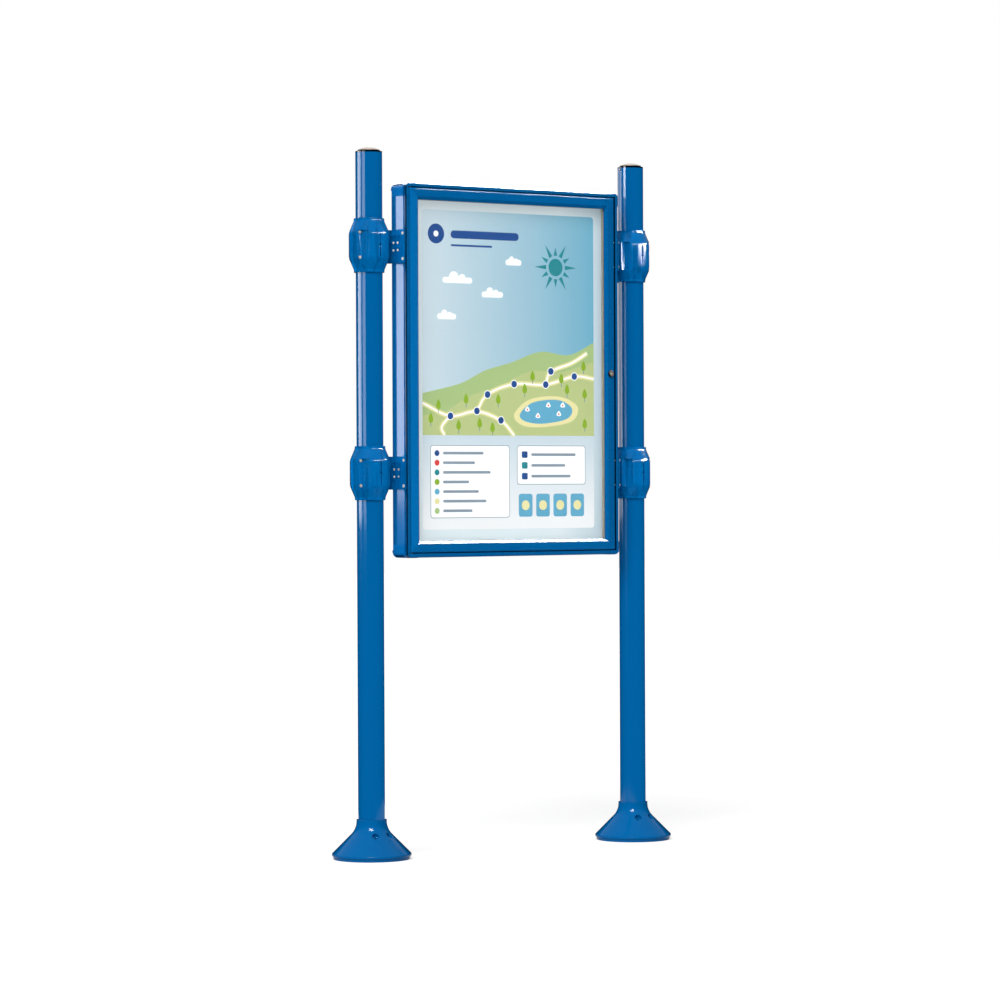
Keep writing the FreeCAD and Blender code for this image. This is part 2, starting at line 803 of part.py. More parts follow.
# Door: a mitred frame round a pane, hinged at its left edge.

def door_section():
    stile = size("stile")
    face = Size(0.5)
    deep = size("door_deep")
    bevel_foot = Size(7)
    return [
        (Size(0), Size(3)),
        (Size(3.3), face),
        (stile - size("bevel"), face),
        (stile, bevel_foot),
        (stile, Size(9)),
        (stile - 6, Size(9)),
        (stile - 6, deep),
        (Size(2), deep),
        (Size(0), deep - 2),
    ]


def saw(body, spots):
    sketch = draw(body, "XZ_Plane", spots, size("case_front") + 5)
    pocket(body, sketch, size("door_deep") + 10)


def door_frame():
    reach = size("stile") + 5
    over = 2
    for side, sign in SIDES.items():
        body = new_body(f"door_{side}_stile")
        outline = [((DOOR_HALF - c[0]) * sign, FRONT + c[1]) + tuple(c[2:]) for c in door_section()]
        pad(body, draw(body, "XY_Plane", outline, DOOR_FOOT), DOOR_TOP - DOOR_FOOT)
        for up, step in ((DOOR_TOP, -1), (DOOR_FOOT, 1)):
            saw(body, [
                ((DOOR_HALF + over) * sign, up - over * step),
                ((DOOR_HALF - reach) * sign, up - over * step),
                ((DOOR_HALF - reach) * sign, up + reach * step),
            ])
        if sign < 0:
            hinge_holes(body, (True, True))
        else:
            lock = [(LOCK_X, MIDDLE, size("lock_barrel_dia") / 2)]
            sketch = draw_circles(body, "XZ_Plane", lock, size("case_front") + 5)
            pocket(body, sketch, size("door_deep") + 10)
    for end, up, step in (("top", DOOR_TOP, -1), ("bottom", DOOR_FOOT, 1)):
        body = new_body(f"door_{end}_rail")
        outline = [(FRONT + c[1], up + c[0] * step) + tuple(c[2:]) for c in door_section()]
        pad(body, draw(body, "YZ_Plane", outline, -DOOR_HALF), DOOR_HALF * 2)
        for sign in SIDES.values():
            saw(body, [
                ((DOOR_HALF + over) * sign, up - over * step),
                ((DOOR_HALF + over) * sign, up + (reach + over) * step),
                ((DOOR_HALF - reach) * sign, up + reach * step),
            ])
        hinge_holes(body, (end == "top", end == "bottom"))


def hinge_holes(body, ends):
    """Bores for the pins, with a running fit, in the door's hinge edge."""
    spot = [(HINGE_X, HINGE_Y, size("hinge_pin_dia") / 2 + 0.06)]
    if ends[0]:
        pocket(body, draw_circles(body, "XY_Plane", spot, DOOR_TOP), Size(20))
    if ends[1]:
        pocket(body, draw_circles(body, "XY_Plane", spot, DOOR_FOOT), Size(20), reverse=True)


def hinge_pins():
    for end, low, high in (
        ("top", DOOR_TOP - 18, TOP - size("rim") + 8),
        ("bottom", FOOT + size("rim") - 8, DOOR_FOOT + 18),
    ):
        body = new_body(f"{end}_hinge_pin")
        spot = [(HINGE_X, HINGE_Y, size("hinge_pin_dia") / 2)]
        pad(body, draw_circles(body, "XY_Plane", spot, low), high - low)


def pane_parts():
    """Glass, its front gasket, rear beads and the seal on the case ledge."""
    sight = size("stile")
    edge = DOOR_HALF - (sight - 5)
    low = DOOR_FOOT + (sight - 5)
    high = DOOR_TOP - (sight - 5)
    pane_front = FRONT + 10
    pane_back = pane_front + size("glass_thick")
    bead_back = pane_back + size("bead_deep")
    block("door_glass", -edge, edge, pane_front, pane_back, low, high)
    ring("glazing_gasket", sight - 5.5, sight - 0.5, pane_front - 1, pane_front)
    for side, sign in SIDES.items():
        inner = (DOOR_HALF - sight) * sign
        outer = (DOOR_HALF - sight + 6) * sign
        pair = (inner, outer) if sign > 0 else (outer, inner)
        block(f"{side}_glazing_bead", pair[0], pair[1], pane_back, bead_back,
              DOOR_FOOT + sight - 6, DOOR_TOP - sight + 6)
    for end, up, step in (("top", DOOR_TOP, -1), ("bottom", DOOR_FOOT, 1)):
        near = up + (sight - 6) * step
        far = up + sight * step
        pair = (far, near) if step < 0 else (near, far)
        block(f"{end}_glazing_bead", -DOOR_HALF + sight, DOOR_HALF - sight,
              pane_back, bead_back, pair[0], pair[1])
    ring("door_seal", -size("door_gap") + 0.5, Size(1.5), FRONT + 18.3, FRONT + 20.5)


def ring(name, outer_inset, inner_inset, low_y, high_y):
    """A rectangular ring, measured inward from the edge of the door."""
    body = new_body(name)
    outer = rectangle(
        -DOOR_HALF + outer_inset, DOOR_HALF - outer_inset,
        DOOR_FOOT + outer_inset, DOOR_TOP - outer_inset,
    )
    sketch = draw(body, "XZ_Plane", outer, -Size.of(low_y))
    pad(body, sketch, Size.of(high_y) - low_y, reverse=True)
    inner = rectangle(
        -DOOR_HALF + inner_inset, DOOR_HALF - inner_inset,
        DOOR_FOOT + inner_inset, DOOR_TOP - inner_inset,
    )
    sketch = draw(body, "XZ_Plane", inner, -Size.of(low_y) + 1)
    pocket(body, sketch, Size.of(high_y) - low_y + 2)
    return body


# Cam lock in the right stile.

LOCK_PROUD = 4.5
BARREL_END = 24
CAM_SCREW_R = 2


def turned(name, outline):
    """A piece turned on the axis of the lock; outline is (radius, back)."""
    body = new_body(name)
    flat = [(c[0], -(FRONT + c[1])) + tuple(c[2:]) for c in outline]
    sketch = draw(body, "XY_Plane", [(c[0], -c[1]) + tuple(c[2:]) for c in flat])
    made = body.newObject("PartDesign::Revolution", f"{name}_turn")
    made.Profile = sketch
    made.ReferenceAxis = (sketch, ["V_Axis"])
    made.Angle = 360
    move(body, LOCK_X, 0, MIDDLE)
    return body


def lock_parts():
    head_r = size("lock_head_dia") / 2
    barrel_r = size("lock_barrel_dia") / 2 - 0.1
    plug_r = size("lock_plug_dia") / 2
    face = Size(0.5)
    turned("lock_body", [
        (plug_r + 0.05, face - LOCK_PROUD),
        (head_r, face - LOCK_PROUD, 2),
        (head_r, face),
        (barrel_r, face),
        (barrel_r, Size(BARREL_END)),
        (plug_r + 0.05, Size(BARREL_END)),
    ])
    plug = turned("lock_plug", [
        (Size(0), face - LOCK_PROUD + 0.6),
        (plug_r, face - LOCK_PROUD + 0.6),
        (plug_r, Size(BARREL_END + 3.2)),
        (Size(0), Size(BARREL_END + 3.2)),
    ])
    slot = rectangle(Size(-0.9), Size(0.9), Size(-3.6), Size(3.6))
    pocket(plug, draw(plug, "XZ_Plane", slot, size("case_front") + LOCK_PROUD + 1), Size(5))
    plug_end = FRONT + (BARREL_END + 3.2)
    tapped = draw_circles(plug, "XZ_Plane", [(0, 0, CAM_SCREW_R + 0.02)], -plug_end)
    pocket(plug, tapped, Size(7), reverse=True)
    turned("lock_nut", [
        (barrel_r + 0.1, size("door_deep")),
        (Size(11), size("door_deep")),
        (Size(11), size("door_deep") + 4),
        (barrel_r + 0.1, size("door_deep") + 4),
    ])
    cam = new_body("lock_cam")
    cam_front = FRONT + (BARREL_END + 0.3)
    outline = [
        (Size(-8), Size(8), 7),
        (Size(-7), Size(-21), 3),
        (Size(7), Size(-21), 3),
        (Size(8), Size(8), 7),
    ]
    pad(cam, draw(cam, "XZ_Plane", outline, -cam_front), Size(2.8), reverse=True)
    bore = draw_circles(cam, "XZ_Plane", [(0, 0, plug_r)], -cam_front + 1)
    pocket(cam, bore, Size(6))
    move(cam, LOCK_X, 0, MIDDLE)
    keeper_x = HALF_WIDE - size("wall")
    block("lock_keeper", keeper_x - 8, keeper_x, FRONT + 23, FRONT + 24,
          MIDDLE - 20, MIDDLE + 20)
    screws("cam_screw", [(float(LOCK_X), float(FRONT) + BARREL_END + 3.2, float(MIDDLE))],
           (0, -1, 0), 4, 2, CAM_SCREW_R, 6)


for side, sign in SIDES.items():
    base_plate(side, sign)
    post(side, sign)
    post_cap(side, sign)
    base_cover(side, sign)
    cover_screws(side, sign)
    for level, height in LEVELS.items():
        clamp_front(side, sign, level, height)
        clamp_rear(side, sign, level, height)
clamp_fasteners()
cap_rivets()
case_walls()
for side, sign in SIDES.items():
    for end, top in (("top", True), ("bottom", False)):
        case_corner(side, sign, end, top)
back_parts()
door_frame()
hinge_pins()
pane_parts()
lock_parts()

doc.recompute()

for thing in doc.Objects:
    if "Invalid" in thing.State or "Error" in thing.State:
        raise ValueError(f"{thing.Label} failed: {thing.State}")
for node in nodes:
    if node.Shape.isNull() or not node.Shape.isValid() or node.Shape.Volume <= 0:
        raise ValueError(f"{node.Label} has no valid shape")

os.makedirs("parts", exist_ok=True)
for node in nodes:
    node.Shape.exportStep(f"parts/{node.Label}.step")
print(len(nodes), "pieces written")
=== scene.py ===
import json
import logging
import math
from dataclasses import dataclass, field
from enum import Enum
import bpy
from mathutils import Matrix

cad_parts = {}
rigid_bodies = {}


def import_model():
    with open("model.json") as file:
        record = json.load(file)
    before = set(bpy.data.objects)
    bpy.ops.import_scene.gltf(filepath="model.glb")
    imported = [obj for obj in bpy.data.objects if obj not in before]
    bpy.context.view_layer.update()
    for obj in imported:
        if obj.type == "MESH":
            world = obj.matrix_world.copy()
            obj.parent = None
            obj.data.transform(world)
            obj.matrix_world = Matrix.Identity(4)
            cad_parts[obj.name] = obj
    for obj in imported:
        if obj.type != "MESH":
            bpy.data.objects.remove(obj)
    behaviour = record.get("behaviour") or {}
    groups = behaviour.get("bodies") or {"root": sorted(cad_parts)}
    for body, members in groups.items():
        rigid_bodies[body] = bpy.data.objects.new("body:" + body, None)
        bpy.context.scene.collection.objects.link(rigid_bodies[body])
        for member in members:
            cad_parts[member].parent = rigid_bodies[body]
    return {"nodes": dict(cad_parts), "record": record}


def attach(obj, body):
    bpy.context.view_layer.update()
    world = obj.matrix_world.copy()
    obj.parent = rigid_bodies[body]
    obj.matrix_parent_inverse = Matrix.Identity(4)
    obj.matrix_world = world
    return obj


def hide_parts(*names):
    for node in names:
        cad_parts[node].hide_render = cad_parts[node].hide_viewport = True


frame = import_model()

from fnmatch import fnmatch
from typing import Callable, Sequence

import bmesh
import bpy
from mathutils import Matrix, Vector

log = logging.getLogger("notice_board")
MM = 0.001
CAST_EASE = 0.0016  # metres by which the edges of castings are eased
TUBE_TOP = 2.101  # where the painted shadow under a post's cap begins
CAP_SEAM = (2.1045, 2.1079)  # the groove under a cap's disc, painted dark as shade
LOCK_AXIS = (0.3685, 1.455)  # X and Z of the lock
RIM_FRONT = -0.048  # Y of the case's front rim

Colour = tuple[float, float, float]
Point = tuple[float, float]
Node = bpy.types.Node
Socket = bpy.types.NodeSocket
Material = bpy.types.Material
Piece = bpy.types.Object


class Body(Enum):
    """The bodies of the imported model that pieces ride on."""

    STAND = "stand"
    DOOR = "door"
    LOCK = "lock"


def srgb(red: int, green: int, blue: int) -> Colour:
    """Turns screen colour counts of 0 to 255 into scene-linear values."""

    def linear(count: int) -> float:
        """Scene-linear value of one channel."""
        share = count / 255
        return share / 12.92 if share <= 0.04045 else ((share + 0.055) / 1.055) ** 2.4

    return linear(red), linear(green), linear(blue)


class NodeGraph:
    """Adds and joins nodes of one shader or geometry tree."""

    def __init__(self, tree: bpy.types.NodeTree) -> None:
        """Keeps the tree and starts it empty."""
        self.shader: Node | None = None
        self.tree = tree
        tree.nodes.clear()

    def add(self, kind: str, settings: dict | None = None, **inputs: object) -> Node:
        """Adds a node.

        Args:
            kind: The node's type name.
            settings: Properties of the node itself.
            **inputs: Socket names, with underscores for spaces, to a value or a socket.

        Returns:
            The new node.
        """
        node = self.tree.nodes.new(kind)
        for name, value in (settings or {}).items():
            setattr(node, name, value)
        for name, value in inputs.items():
            self.feed(node.inputs[name.replace("_", " ")], value)
        return node

    def feed(self, socket: Socket, value: object) -> None:
        """Joins a socket to another one or to a node's first output, or sets its value."""
        if isinstance(value, Node):
            value = value.outputs[0]
        if isinstance(value, Socket):
            self.tree.links.new(value, socket)
        elif socket.type == "RGBA" and len(value) == 3:
            socket.default_value = (*value, 1.0)
        else:
            socket.default_value = value

    def shade(self, **inputs: object) -> None:
        """Feeds the Principled node's inputs, with underscores for spaces."""
        for name, value in inputs.items():
            self.feed(self.shader.inputs[name.replace("_", " ")], value)

    def math(self, operation: str, first: object, second: object = 0.0) -> Socket:
        """One sum on two values.

        Args:
            operation: Name of the operation.
            first: Value or socket.
            second: Value or socket.

        Returns:
            The result's socket.
        """
        node = self.tree.nodes.new("ShaderNodeMath")
        node.operation = operation
        self.feed(node.inputs[0], first)
        self.feed(node.inputs[1], second)
        return node.outputs[0]

    def times(self, first: object, second: object) -> Socket:
        """One value times another."""
        return self.math("MULTIPLY", first, second)

    def place(self) -> Socket:
        """Coordinates of the object itself."""
        return self.add("ShaderNodeTexCoord").outputs["Object"]

    def axes(self, vector: object) -> object:
        """The X, Y and Z of a vector."""
        return self.add("ShaderNodeSeparateXYZ", Vector=vector).outputs

    def seen_rays(self) -> Socket:
        """One for the rays that carry a picture: camera, transmission and glossy."""
        rays = self.add("ShaderNodeLightPath").outputs
        seen = self.math("MAXIMUM", rays["Is Camera Ray"], rays["Is Transmission Ray"])
        return self.math("MAXIMUM", seen, rays["Is Glossy Ray"])

    def tint(self, share: object, colour: Colour) -> None:
        """Lays a share of another colour over the material's base colour."""
        clean = self.shader.inputs["Base Color"].links[0].from_socket
        self.shade(Base_Color=self.mix(share, clean, colour))

    def noise(self, vector: object, scale: float, detail: float = 2.0) -> Socket:
        """A noise value over a vector."""
        node = self.add("ShaderNodeTexNoise", Scale=scale, Detail=detail, Vector=vector)
        return node.outputs["Fac"]

    def span(self, value: object, low: float, high: float,
             to_low: float = 0.0, to_high: float = 1.0) -> Socket:
        """Stretches low..high of a value to another range, clamped."""
        node = self.tree.nodes.new("ShaderNodeMapRange")
        self.feed(node.inputs["Value"], value)
        for name, limit in (("From Min", low), ("From Max", high),
                            ("To Min", to_low), ("To Max", to_high)):
            node.inputs[name].default_value = limit
        return node.outputs["Result"]

    def mix(self, share: object, first: object, second: object) -> Socket:
        """A colour between two colours."""
        node = self.tree.nodes.new("ShaderNodeMix")
        node.data_type = "RGBA"
        self.feed(node.inputs[0], share)
        self.feed(node.inputs[6], first)
        self.feed(node.inputs[7], second)
        return node.outputs[2]


def shader_group(name: str, colours: tuple[str, ...], numbers: tuple[str, ...],
                 build: Callable[[NodeGraph, dict[str, Socket]], tuple[Socket, ...]]
                 ) -> bpy.types.NodeTree:
    """Builds an effect group once and returns it afterwards.

    Args:
        name: Name of the group.
        colours: Names of its colour inputs.
        numbers: Names of its number inputs.
        build: Fills the group and returns what feeds Color, Roughness and Height.

    Returns:
        The node group.
    """
    if name in bpy.data.node_groups:
        return bpy.data.node_groups[name]
    group = bpy.data.node_groups.new(name, "ShaderNodeTree")
    kinds = {label: "NodeSocketColor" for label in (*colours, "Color")}
    for label in (*colours, *numbers):
        group.interface.new_socket(label, in_out="INPUT",
                                   socket_type=kinds.get(label, "NodeSocketFloat"))
    for label in ("Color", "Roughness", "Height"):
        group.interface.new_socket(label, in_out="OUTPUT",
                                   socket_type=kinds.get(label, "NodeSocketFloat"))
    graph = NodeGraph(group)
    entry = graph.add("NodeGroupInput").outputs
    leave = graph.add("NodeGroupOutput").inputs
    for label, socket in zip(("Color", "Roughness", "Height"), build(graph, entry)):
        graph.feed(leave[label], socket)
    return group


def lacquer_group() -> bpy.types.NodeTree:
    """Orange peel, faint tone drift, dust, rubbed edges, and painted shade: dark vertical bands,
    dark chamfers and a dark band under a post's cap.

    Returns:
        The group, with outputs Color, Roughness and Height.
    """

    def build(graph: NodeGraph, entry: dict[str, Socket]) -> tuple[Socket, ...]:
        """Fills the group."""
        place = graph.place()
        peel = graph.noise(place, 1.0)
        graph.feed(peel.node.inputs["Scale"], entry["Peel scale"])
        drift = graph.span(graph.noise(place, 9.0, 3.0), 0.3, 0.7)
        tone = graph.times(drift, entry["Drift"])
        toned = graph.mix(tone, entry["Color"], entry["Drift color"])
        # Painted shade: dark vertical bands, stretched along Z, laid over the colour.
        drawn = graph.add("ShaderNodeMapping", Vector=place)
        drawn.inputs["Scale"].default_value = (1.0, 1.0, 0.07)
        shade_band_mask = graph.span(graph.noise(drawn, 75.0, 2.0), 0.5, 0.62)
        toned = graph.mix(graph.times(shade_band_mask, entry["Streak"]), toned, srgb(0, 62, 108))
        specks = graph.span(graph.noise(place, 260.0, 4.0), 0.62, 0.78)
        spot = graph.axes(place)
        low = graph.span(spot["Z"], 0.0, 0.16, 1.0, 0.12)
        dust = graph.times(graph.times(specks, low), entry["Dust"])
        dusted = graph.mix(dust, toned, srgb(176, 178, 176))
        surface = graph.add("ShaderNodeNewGeometry").outputs
        worn = graph.span(surface["Pointiness"], 0.56, 0.66)
        broken = graph.span(graph.noise(place, 140.0, 5.0), 0.5, 0.62)
        rub = graph.times(graph.times(worn, broken), entry["Wear"])
        rubbed = graph.mix(rub, dusted, entry["Worn color"])
        # Painted shade: near-black on chamfers between side and front, and on side-facing faces at
        # the front rim.
        slant = graph.axes(surface["True Normal"])
        sideways = graph.math("ABSOLUTE", slant["X"])
        both = graph.times(sideways, graph.times(slant["Y"], -1.0))
        front = graph.times(graph.span(spot["Y"], RIM_FRONT, RIM_FRONT + 0.0015, 1.0, 0.0),
                            graph.span(sideways, 0.3, 0.5))
        edge = graph.times(graph.math("MAXIMUM", graph.span(both, 0.38, 0.46), front),
                           entry["Edge line"])
        # Painted shadow: a near-black band at a post's top, under its cap.
        cut = graph.times(graph.span(spot["Z"], TUBE_TOP, TUBE_TOP + 0.0003), entry["Cut end"])
        final = graph.mix(graph.math("MAXIMUM", edge, cut), rubbed, srgb(0, 10, 26))
        cloud = graph.span(graph.noise(place, 14.0, 2.0), 0.3, 0.7, 0.95, 1.08)
        rough = graph.times(entry["Roughness"], cloud)
        rough = graph.math("ADD", rough, graph.times(dust, 0.4))
        rear = graph.span(spot["Y"], -0.010, 0.021)
        bow = graph.times(graph.times(rear, rear), entry["Bow"])
        return final, rough, graph.math("SUBTRACT", peel, bow)

    return shader_group(
        "lacquer_skin", ("Color", "Drift color", "Worn color"),
        ("Drift", "Roughness", "Peel scale", "Dust", "Wear", "Bow", "Edge line",
         "Cut end", "Streak"), build)


def metal_group() -> bpy.types.NodeTree:
    """Grain, stains and fine scratches of bare metal.

    Returns:
        The group, with outputs Color, Roughness and Height.
    """

    def build(graph: NodeGraph, entry: dict[str, Socket]) -> tuple[Socket, ...]:
        """Fills the group."""
        place = graph.place()
        pulled = graph.add("ShaderNodeMapping", Vector=place)
        pulled.inputs["Scale"].default_value = (1.0, 1.0, 0.06)
        grain = graph.noise(pulled, 900.0, 3.0)
        blotch = graph.span(graph.noise(place, 60.0, 4.0), 0.35, 0.7)
        stain = graph.times(blotch, entry["Stain"])
        colour = graph.mix(stain, entry["Color"], entry["Stain color"])
        fine = graph.times(graph.math("SUBTRACT", grain, 0.5), entry["Grain"])
        rough = graph.math("ADD", entry["Roughness"], fine)
        rough = graph.math("ADD", rough, graph.times(stain, 0.15))
        return colour, rough, grain

    return shader_group("metal_grain", ("Color", "Stain color"),
                        ("Stain", "Roughness", "Grain"), build)


def new_material(name: str) -> tuple[Material, NodeGraph]:
    """An empty material with a Principled shader, and its graph."""
    made = bpy.data.materials.new(name)
    made.use_nodes = True
    graph = NodeGraph(made.node_tree)
    graph.shader = graph.add("ShaderNodeBsdfPrincipled")
    graph.add("ShaderNodeOutputMaterial", Surface=graph.shader)
    return made, graph


def dress(graph: NodeGraph, group: bpy.types.NodeTree, bump: float, **values: object) -> None:
    """Feeds a shader from an effect group.

    Args:
        graph: The material's graph.
        group: Group with outputs Color, Roughness and Height.
        bump: Depth of the relief in metres.
        **values: The group's inputs, with underscores for spaces.
    """
    node = graph.tree.nodes.new("ShaderNodeGroup")
    node.node_tree = group
    for name, value in values.items():
        graph.feed(node.inputs[name.replace("_", " ")], value)
    graph.shade(Base_Color=node.outputs["Color"], Roughness=node.outputs["Roughness"])
    relief = graph.add("ShaderNodeBump", Strength=1.0, Distance=bump, Height=node.outputs["Height"])
    graph.shade(Normal=relief)


BLUE = srgb(0, 97, 161)
BLUE_DEEP = srgb(0, 95, 158)
BLUE_CAST = srgb(0, 82, 139)
PRIMER = srgb(70, 120, 160)


@dataclass(frozen=True)
class Lacquer:
    """A coated finish: colour, gloss, orange peel, dust, rubbed edges and painted shade."""

    name: str
    colour: Colour = BLUE
    drift_colour: Colour = BLUE_DEEP
    worn_colour: Colour = PRIMER
    roughness: float = 0.2
    peel_scale: float = 420.0
    peel_depth: float = 0.00003
    specular: float = 0.05
    drift: float = 0.5
    dust: float = 0.06
    wear: float = 0.2
    bow: float = 0.0
    # Strength of the painted shade on front chamfers.
    edge_line: float = 0.0
    # Strength of the painted shadow at a post's top.
    cut_end: float = 0.0
    # Strength of the painted shade bands.
    streak: float = 0.0
    rim_shade: float = 0.0

    def make(self) -> Material:
        """Builds the material."""
        made, graph = new_material(self.name)
        dress(graph, lacquer_group(), self.peel_depth,
              Color=self.colour, Drift_color=self.drift_colour,
              Worn_color=self.worn_colour, Roughness=self.roughness,
              Peel_scale=self.peel_scale, Drift=self.drift, Dust=self.dust,
              Wear=self.wear, Bow=self.bow, Edge_line=self.edge_line,
              Cut_end=self.cut_end, Streak=self.streak)
        graph.shade(Specular_IOR_Level=self.specular)
        if self.rim_shade:
            weight = graph.add("ShaderNodeLayerWeight", Blend=0.5)
            rim = graph.span(weight.outputs["Facing"], 0.62, 0.92, 0.0, self.rim_shade)
            graph.tint(rim, srgb(0, 24, 52))
        return made


@dataclass(frozen=True)
class BareMetal:
    """A bare metal finish with drawn grain and faint stains, and optional painted shade and
    highlight.
    """

    name: str
    colour: Colour
    stain_colour: Colour
    roughness: float = 0.28
    grain: float = 0.2
    stain: float = 0.3
    relief: float = 0.000004
    shaded_seam: tuple[float, float] | None = None
    side_shade: float = 0.0
    # Middle of a round face that gets painted shade and a painted highlight.
    light_spot: Point | None = None
    metallic: float = 1.0

    def make(self) -> Material:
        """Builds the material."""
        made, graph = new_material(self.name)
        dress(graph, metal_group(), self.relief, Color=self.colour, Stain_color=self.stain_colour,
              Roughness=self.roughness, Grain=self.grain, Stain=self.stain)
        graph.shade(Metallic=self.metallic)
        if self.shaded_seam is not None:
            self.darken_shaded_seam(graph)
        if self.light_spot is not None:
            self.paint_light_spot(graph)
        if self.side_shade:
            self.paint_side_shade(graph)
        return made

    def paint_light_spot(self, graph: NodeGraph) -> None:
        """Painted shade on the lower left of a round face, and a painted highlight in its middle.

        Args:
            graph: The material's graph.
        """
        spot = graph.axes(graph.place())
        across = graph.math("SUBTRACT", spot["X"], self.light_spot[0])
        above = graph.math("SUBTRACT", spot["Z"], self.light_spot[1])
        slope = graph.math("ADD", graph.times(across, 0.75), graph.times(above, 0.65))
        painted_shade = graph.span(slope, -0.008, 0.001, 0.9, 0.0)
        away = graph.math("SQRT", graph.math(
            "ADD", graph.times(across, across),
            graph.times(above, above)))
        painted_highlight = graph.span(away, 0.0015, 0.0042, 1.0, 0.0)
        graph.tint(painted_shade, srgb(16, 12, 10))
        graph.tint(painted_highlight, srgb(250, 246, 244))

    def paint_side_shade(self, graph: NodeGraph) -> None:
        """Paints shade on the faces that don't look out of the front."""
        facing = graph.add("ShaderNodeNewGeometry").outputs["True Normal"]
        across = graph.math("ABSOLUTE", graph.axes(facing)["Y"])
        side = graph.span(across, 0.35, 0.9, self.side_shade, 0.0)
        graph.tint(side, srgb(16, 12, 10))

    def darken_shaded_seam(self, graph: NodeGraph) -> None:
        """Paints shade into the groove between two levels, as a near-black band.

        Args:
            graph: The material's graph.
        """
        low, high = self.shaded_seam
        fade = 0.0002
        level = graph.axes(graph.place())["Z"]
        above = graph.span(level, low - fade, low + fade)
        below = graph.span(level, high - fade, high + fade, 1.0, 0.0)
        graph.tint(graph.times(above, below), srgb(12, 12, 16))


@dataclass(frozen=True)
class ClearPane:
    """Safety glass that lets light through to what it covers."""

    name: str = "pane_glass"
    shade_share: float = 0.1

    def make(self) -> Material:
        """Builds the material."""
        made, graph = new_material(self.name)
        graph.shade(Base_Color=srgb(250, 253, 252), Transmission_Weight=1.0, IOR=1.3)
        smear = graph.span(graph.noise(graph.place(), 7.0, 4.0), 0.35, 0.75, 0.0, 0.025)
        graph.shade(Roughness=smear)
        rays = graph.add("ShaderNodeLightPath").outputs
        passed = graph.math("MAXIMUM", rays["Is Shadow Ray"], rays["Is Diffuse Ray"])
        solid = graph.math("SUBTRACT", 1.0, graph.times(passed, 1.0 - self.shade_share))
        graph.shade(Alpha=solid)
        return made


@dataclass(frozen=True)
class Ink:
    """A printed colour on coated paper, with a fine screen grain."""

    name: str
    colour: Colour
    fade_colour: Colour | None = None
    fade_low: float = 0.97
    fade_high: float = 1.95
    fade_axis: str = "Z"

    def make(self) -> Material:
        """Builds the material."""
        made, graph = new_material(self.name)
        place = graph.place()
        base: object = self.colour
        if self.fade_colour is not None:
            level = graph.axes(place)[self.fade_axis]
            share = graph.span(level, self.fade_low, self.fade_high)
            base = graph.mix(share, self.fade_colour, self.colour)
        grain = graph.span(graph.noise(place, 1400.0, 2.0), 0.3, 0.7, 0.0, 0.012)
        printed = graph.mix(grain, base, srgb(255, 255, 255))
        rough = graph.span(graph.noise(place, 40.0, 3.0), 0.3, 0.7, 0.4, 0.5)
        graph.shade(Base_Color=printed, Roughness=rough, Specular_IOR_Level=0.1)
        return made


FINISHES = {
    "blue_paint": Lacquer("blue_powder_coat", roughness=0.08, peel_depth=0.0000003),
    "cast_paint": Lacquer("blue_coat_on_casting", drift_colour=BLUE_CAST, roughness=0.09,
                          peel_scale=130.0, peel_depth=0.00007, drift=0.4, rim_shade=0.8,
                          streak=0.45),
    "cover_paint": Lacquer("blue_coat_on_cover", roughness=0.09, peel_scale=130.0,
                           peel_depth=0.00007, rim_shade=0.8),
    "wall_paint": Lacquer("blue_coat_on_wall", roughness=0.12, peel_scale=900.0,
                          peel_depth=0.000003, specular=0.2, bow=2600.0, edge_line=0.9),
    "post_paint": Lacquer("blue_coat_on_tube", roughness=0.08, peel_depth=0.0000004,
                          specular=0.2, dust=0.0, wear=0.0, cut_end=1.0),
    "dull_zinc": BareMetal("dull_zinc_bolt", srgb(222, 212, 190), srgb(190, 176, 150),
                           roughness=0.45),
    "moulded_blue": Lacquer("satin_blue_moulding", roughness=0.16, peel_scale=500.0,
                            peel_depth=0.000012, edge_line=0.85),
    "white_panel": Lacquer("white_lacquered_steel", srgb(236, 239, 242),
                           srgb(228, 232, 236), srgb(190, 192, 194), roughness=0.35,
                           dust=0.1, wear=0.1),
    "rubber": Lacquer("seal_rubber", srgb(30, 30, 32), srgb(40, 40, 42),
                      srgb(60, 60, 60), roughness=0.7, specular=0.25, dust=0.4,
                      peel_scale=900.0),
    "cap_aluminium": BareMetal("turned_aluminium", srgb(214, 200, 188),
                               srgb(196, 184, 174), roughness=0.4, shaded_seam=CAP_SEAM),
    "galvanised_steel": BareMetal("zinc_coated_steel", srgb(176, 182, 186),
                                  srgb(140, 148, 154), roughness=0.42, stain=0.6,
                                  metallic=0.3),
    "stainless": BareMetal("stainless_fastener", srgb(240, 232, 216),
                           srgb(205, 190, 165), roughness=0.34),
    "lock_metal": BareMetal("worn_nickel_plate", srgb(150, 138, 126),
                            srgb(104, 92, 82), roughness=0.3, grain=0.1, stain=0.5,
                            side_shade=0.85, light_spot=LOCK_AXIS),
    "black_screw": BareMetal("black_oxide", srgb(46, 48, 52), srgb(70, 66, 62), roughness=0.45),
    "bead_grey": Lacquer("glazing_bead_grey", srgb(160, 156, 142), srgb(150, 147, 134),
                         srgb(176, 172, 160), roughness=0.7, dust=0.15, wear=0.0),
    "glass": ClearPane(),
    "poster_paper": Ink("poster_white", srgb(246, 248, 249)),
}


CASTINGS = ("clamp_front", "clamp_bracket", "base_cover")
OWN_FINISH = {"case_left_wall": "wall_paint", "case_right_wall": "wall_paint",
              "left_post": "post_paint", "right_post": "post_paint",
              "clamp_bolts": "dull_zinc", "left_base_cover": "cover_paint",
              "right_base_cover": "cover_paint"}


def place_in_scene(made: Piece) -> None:
    """Links a new object to the scene."""
    bpy.context.scene.collection.objects.link(made)


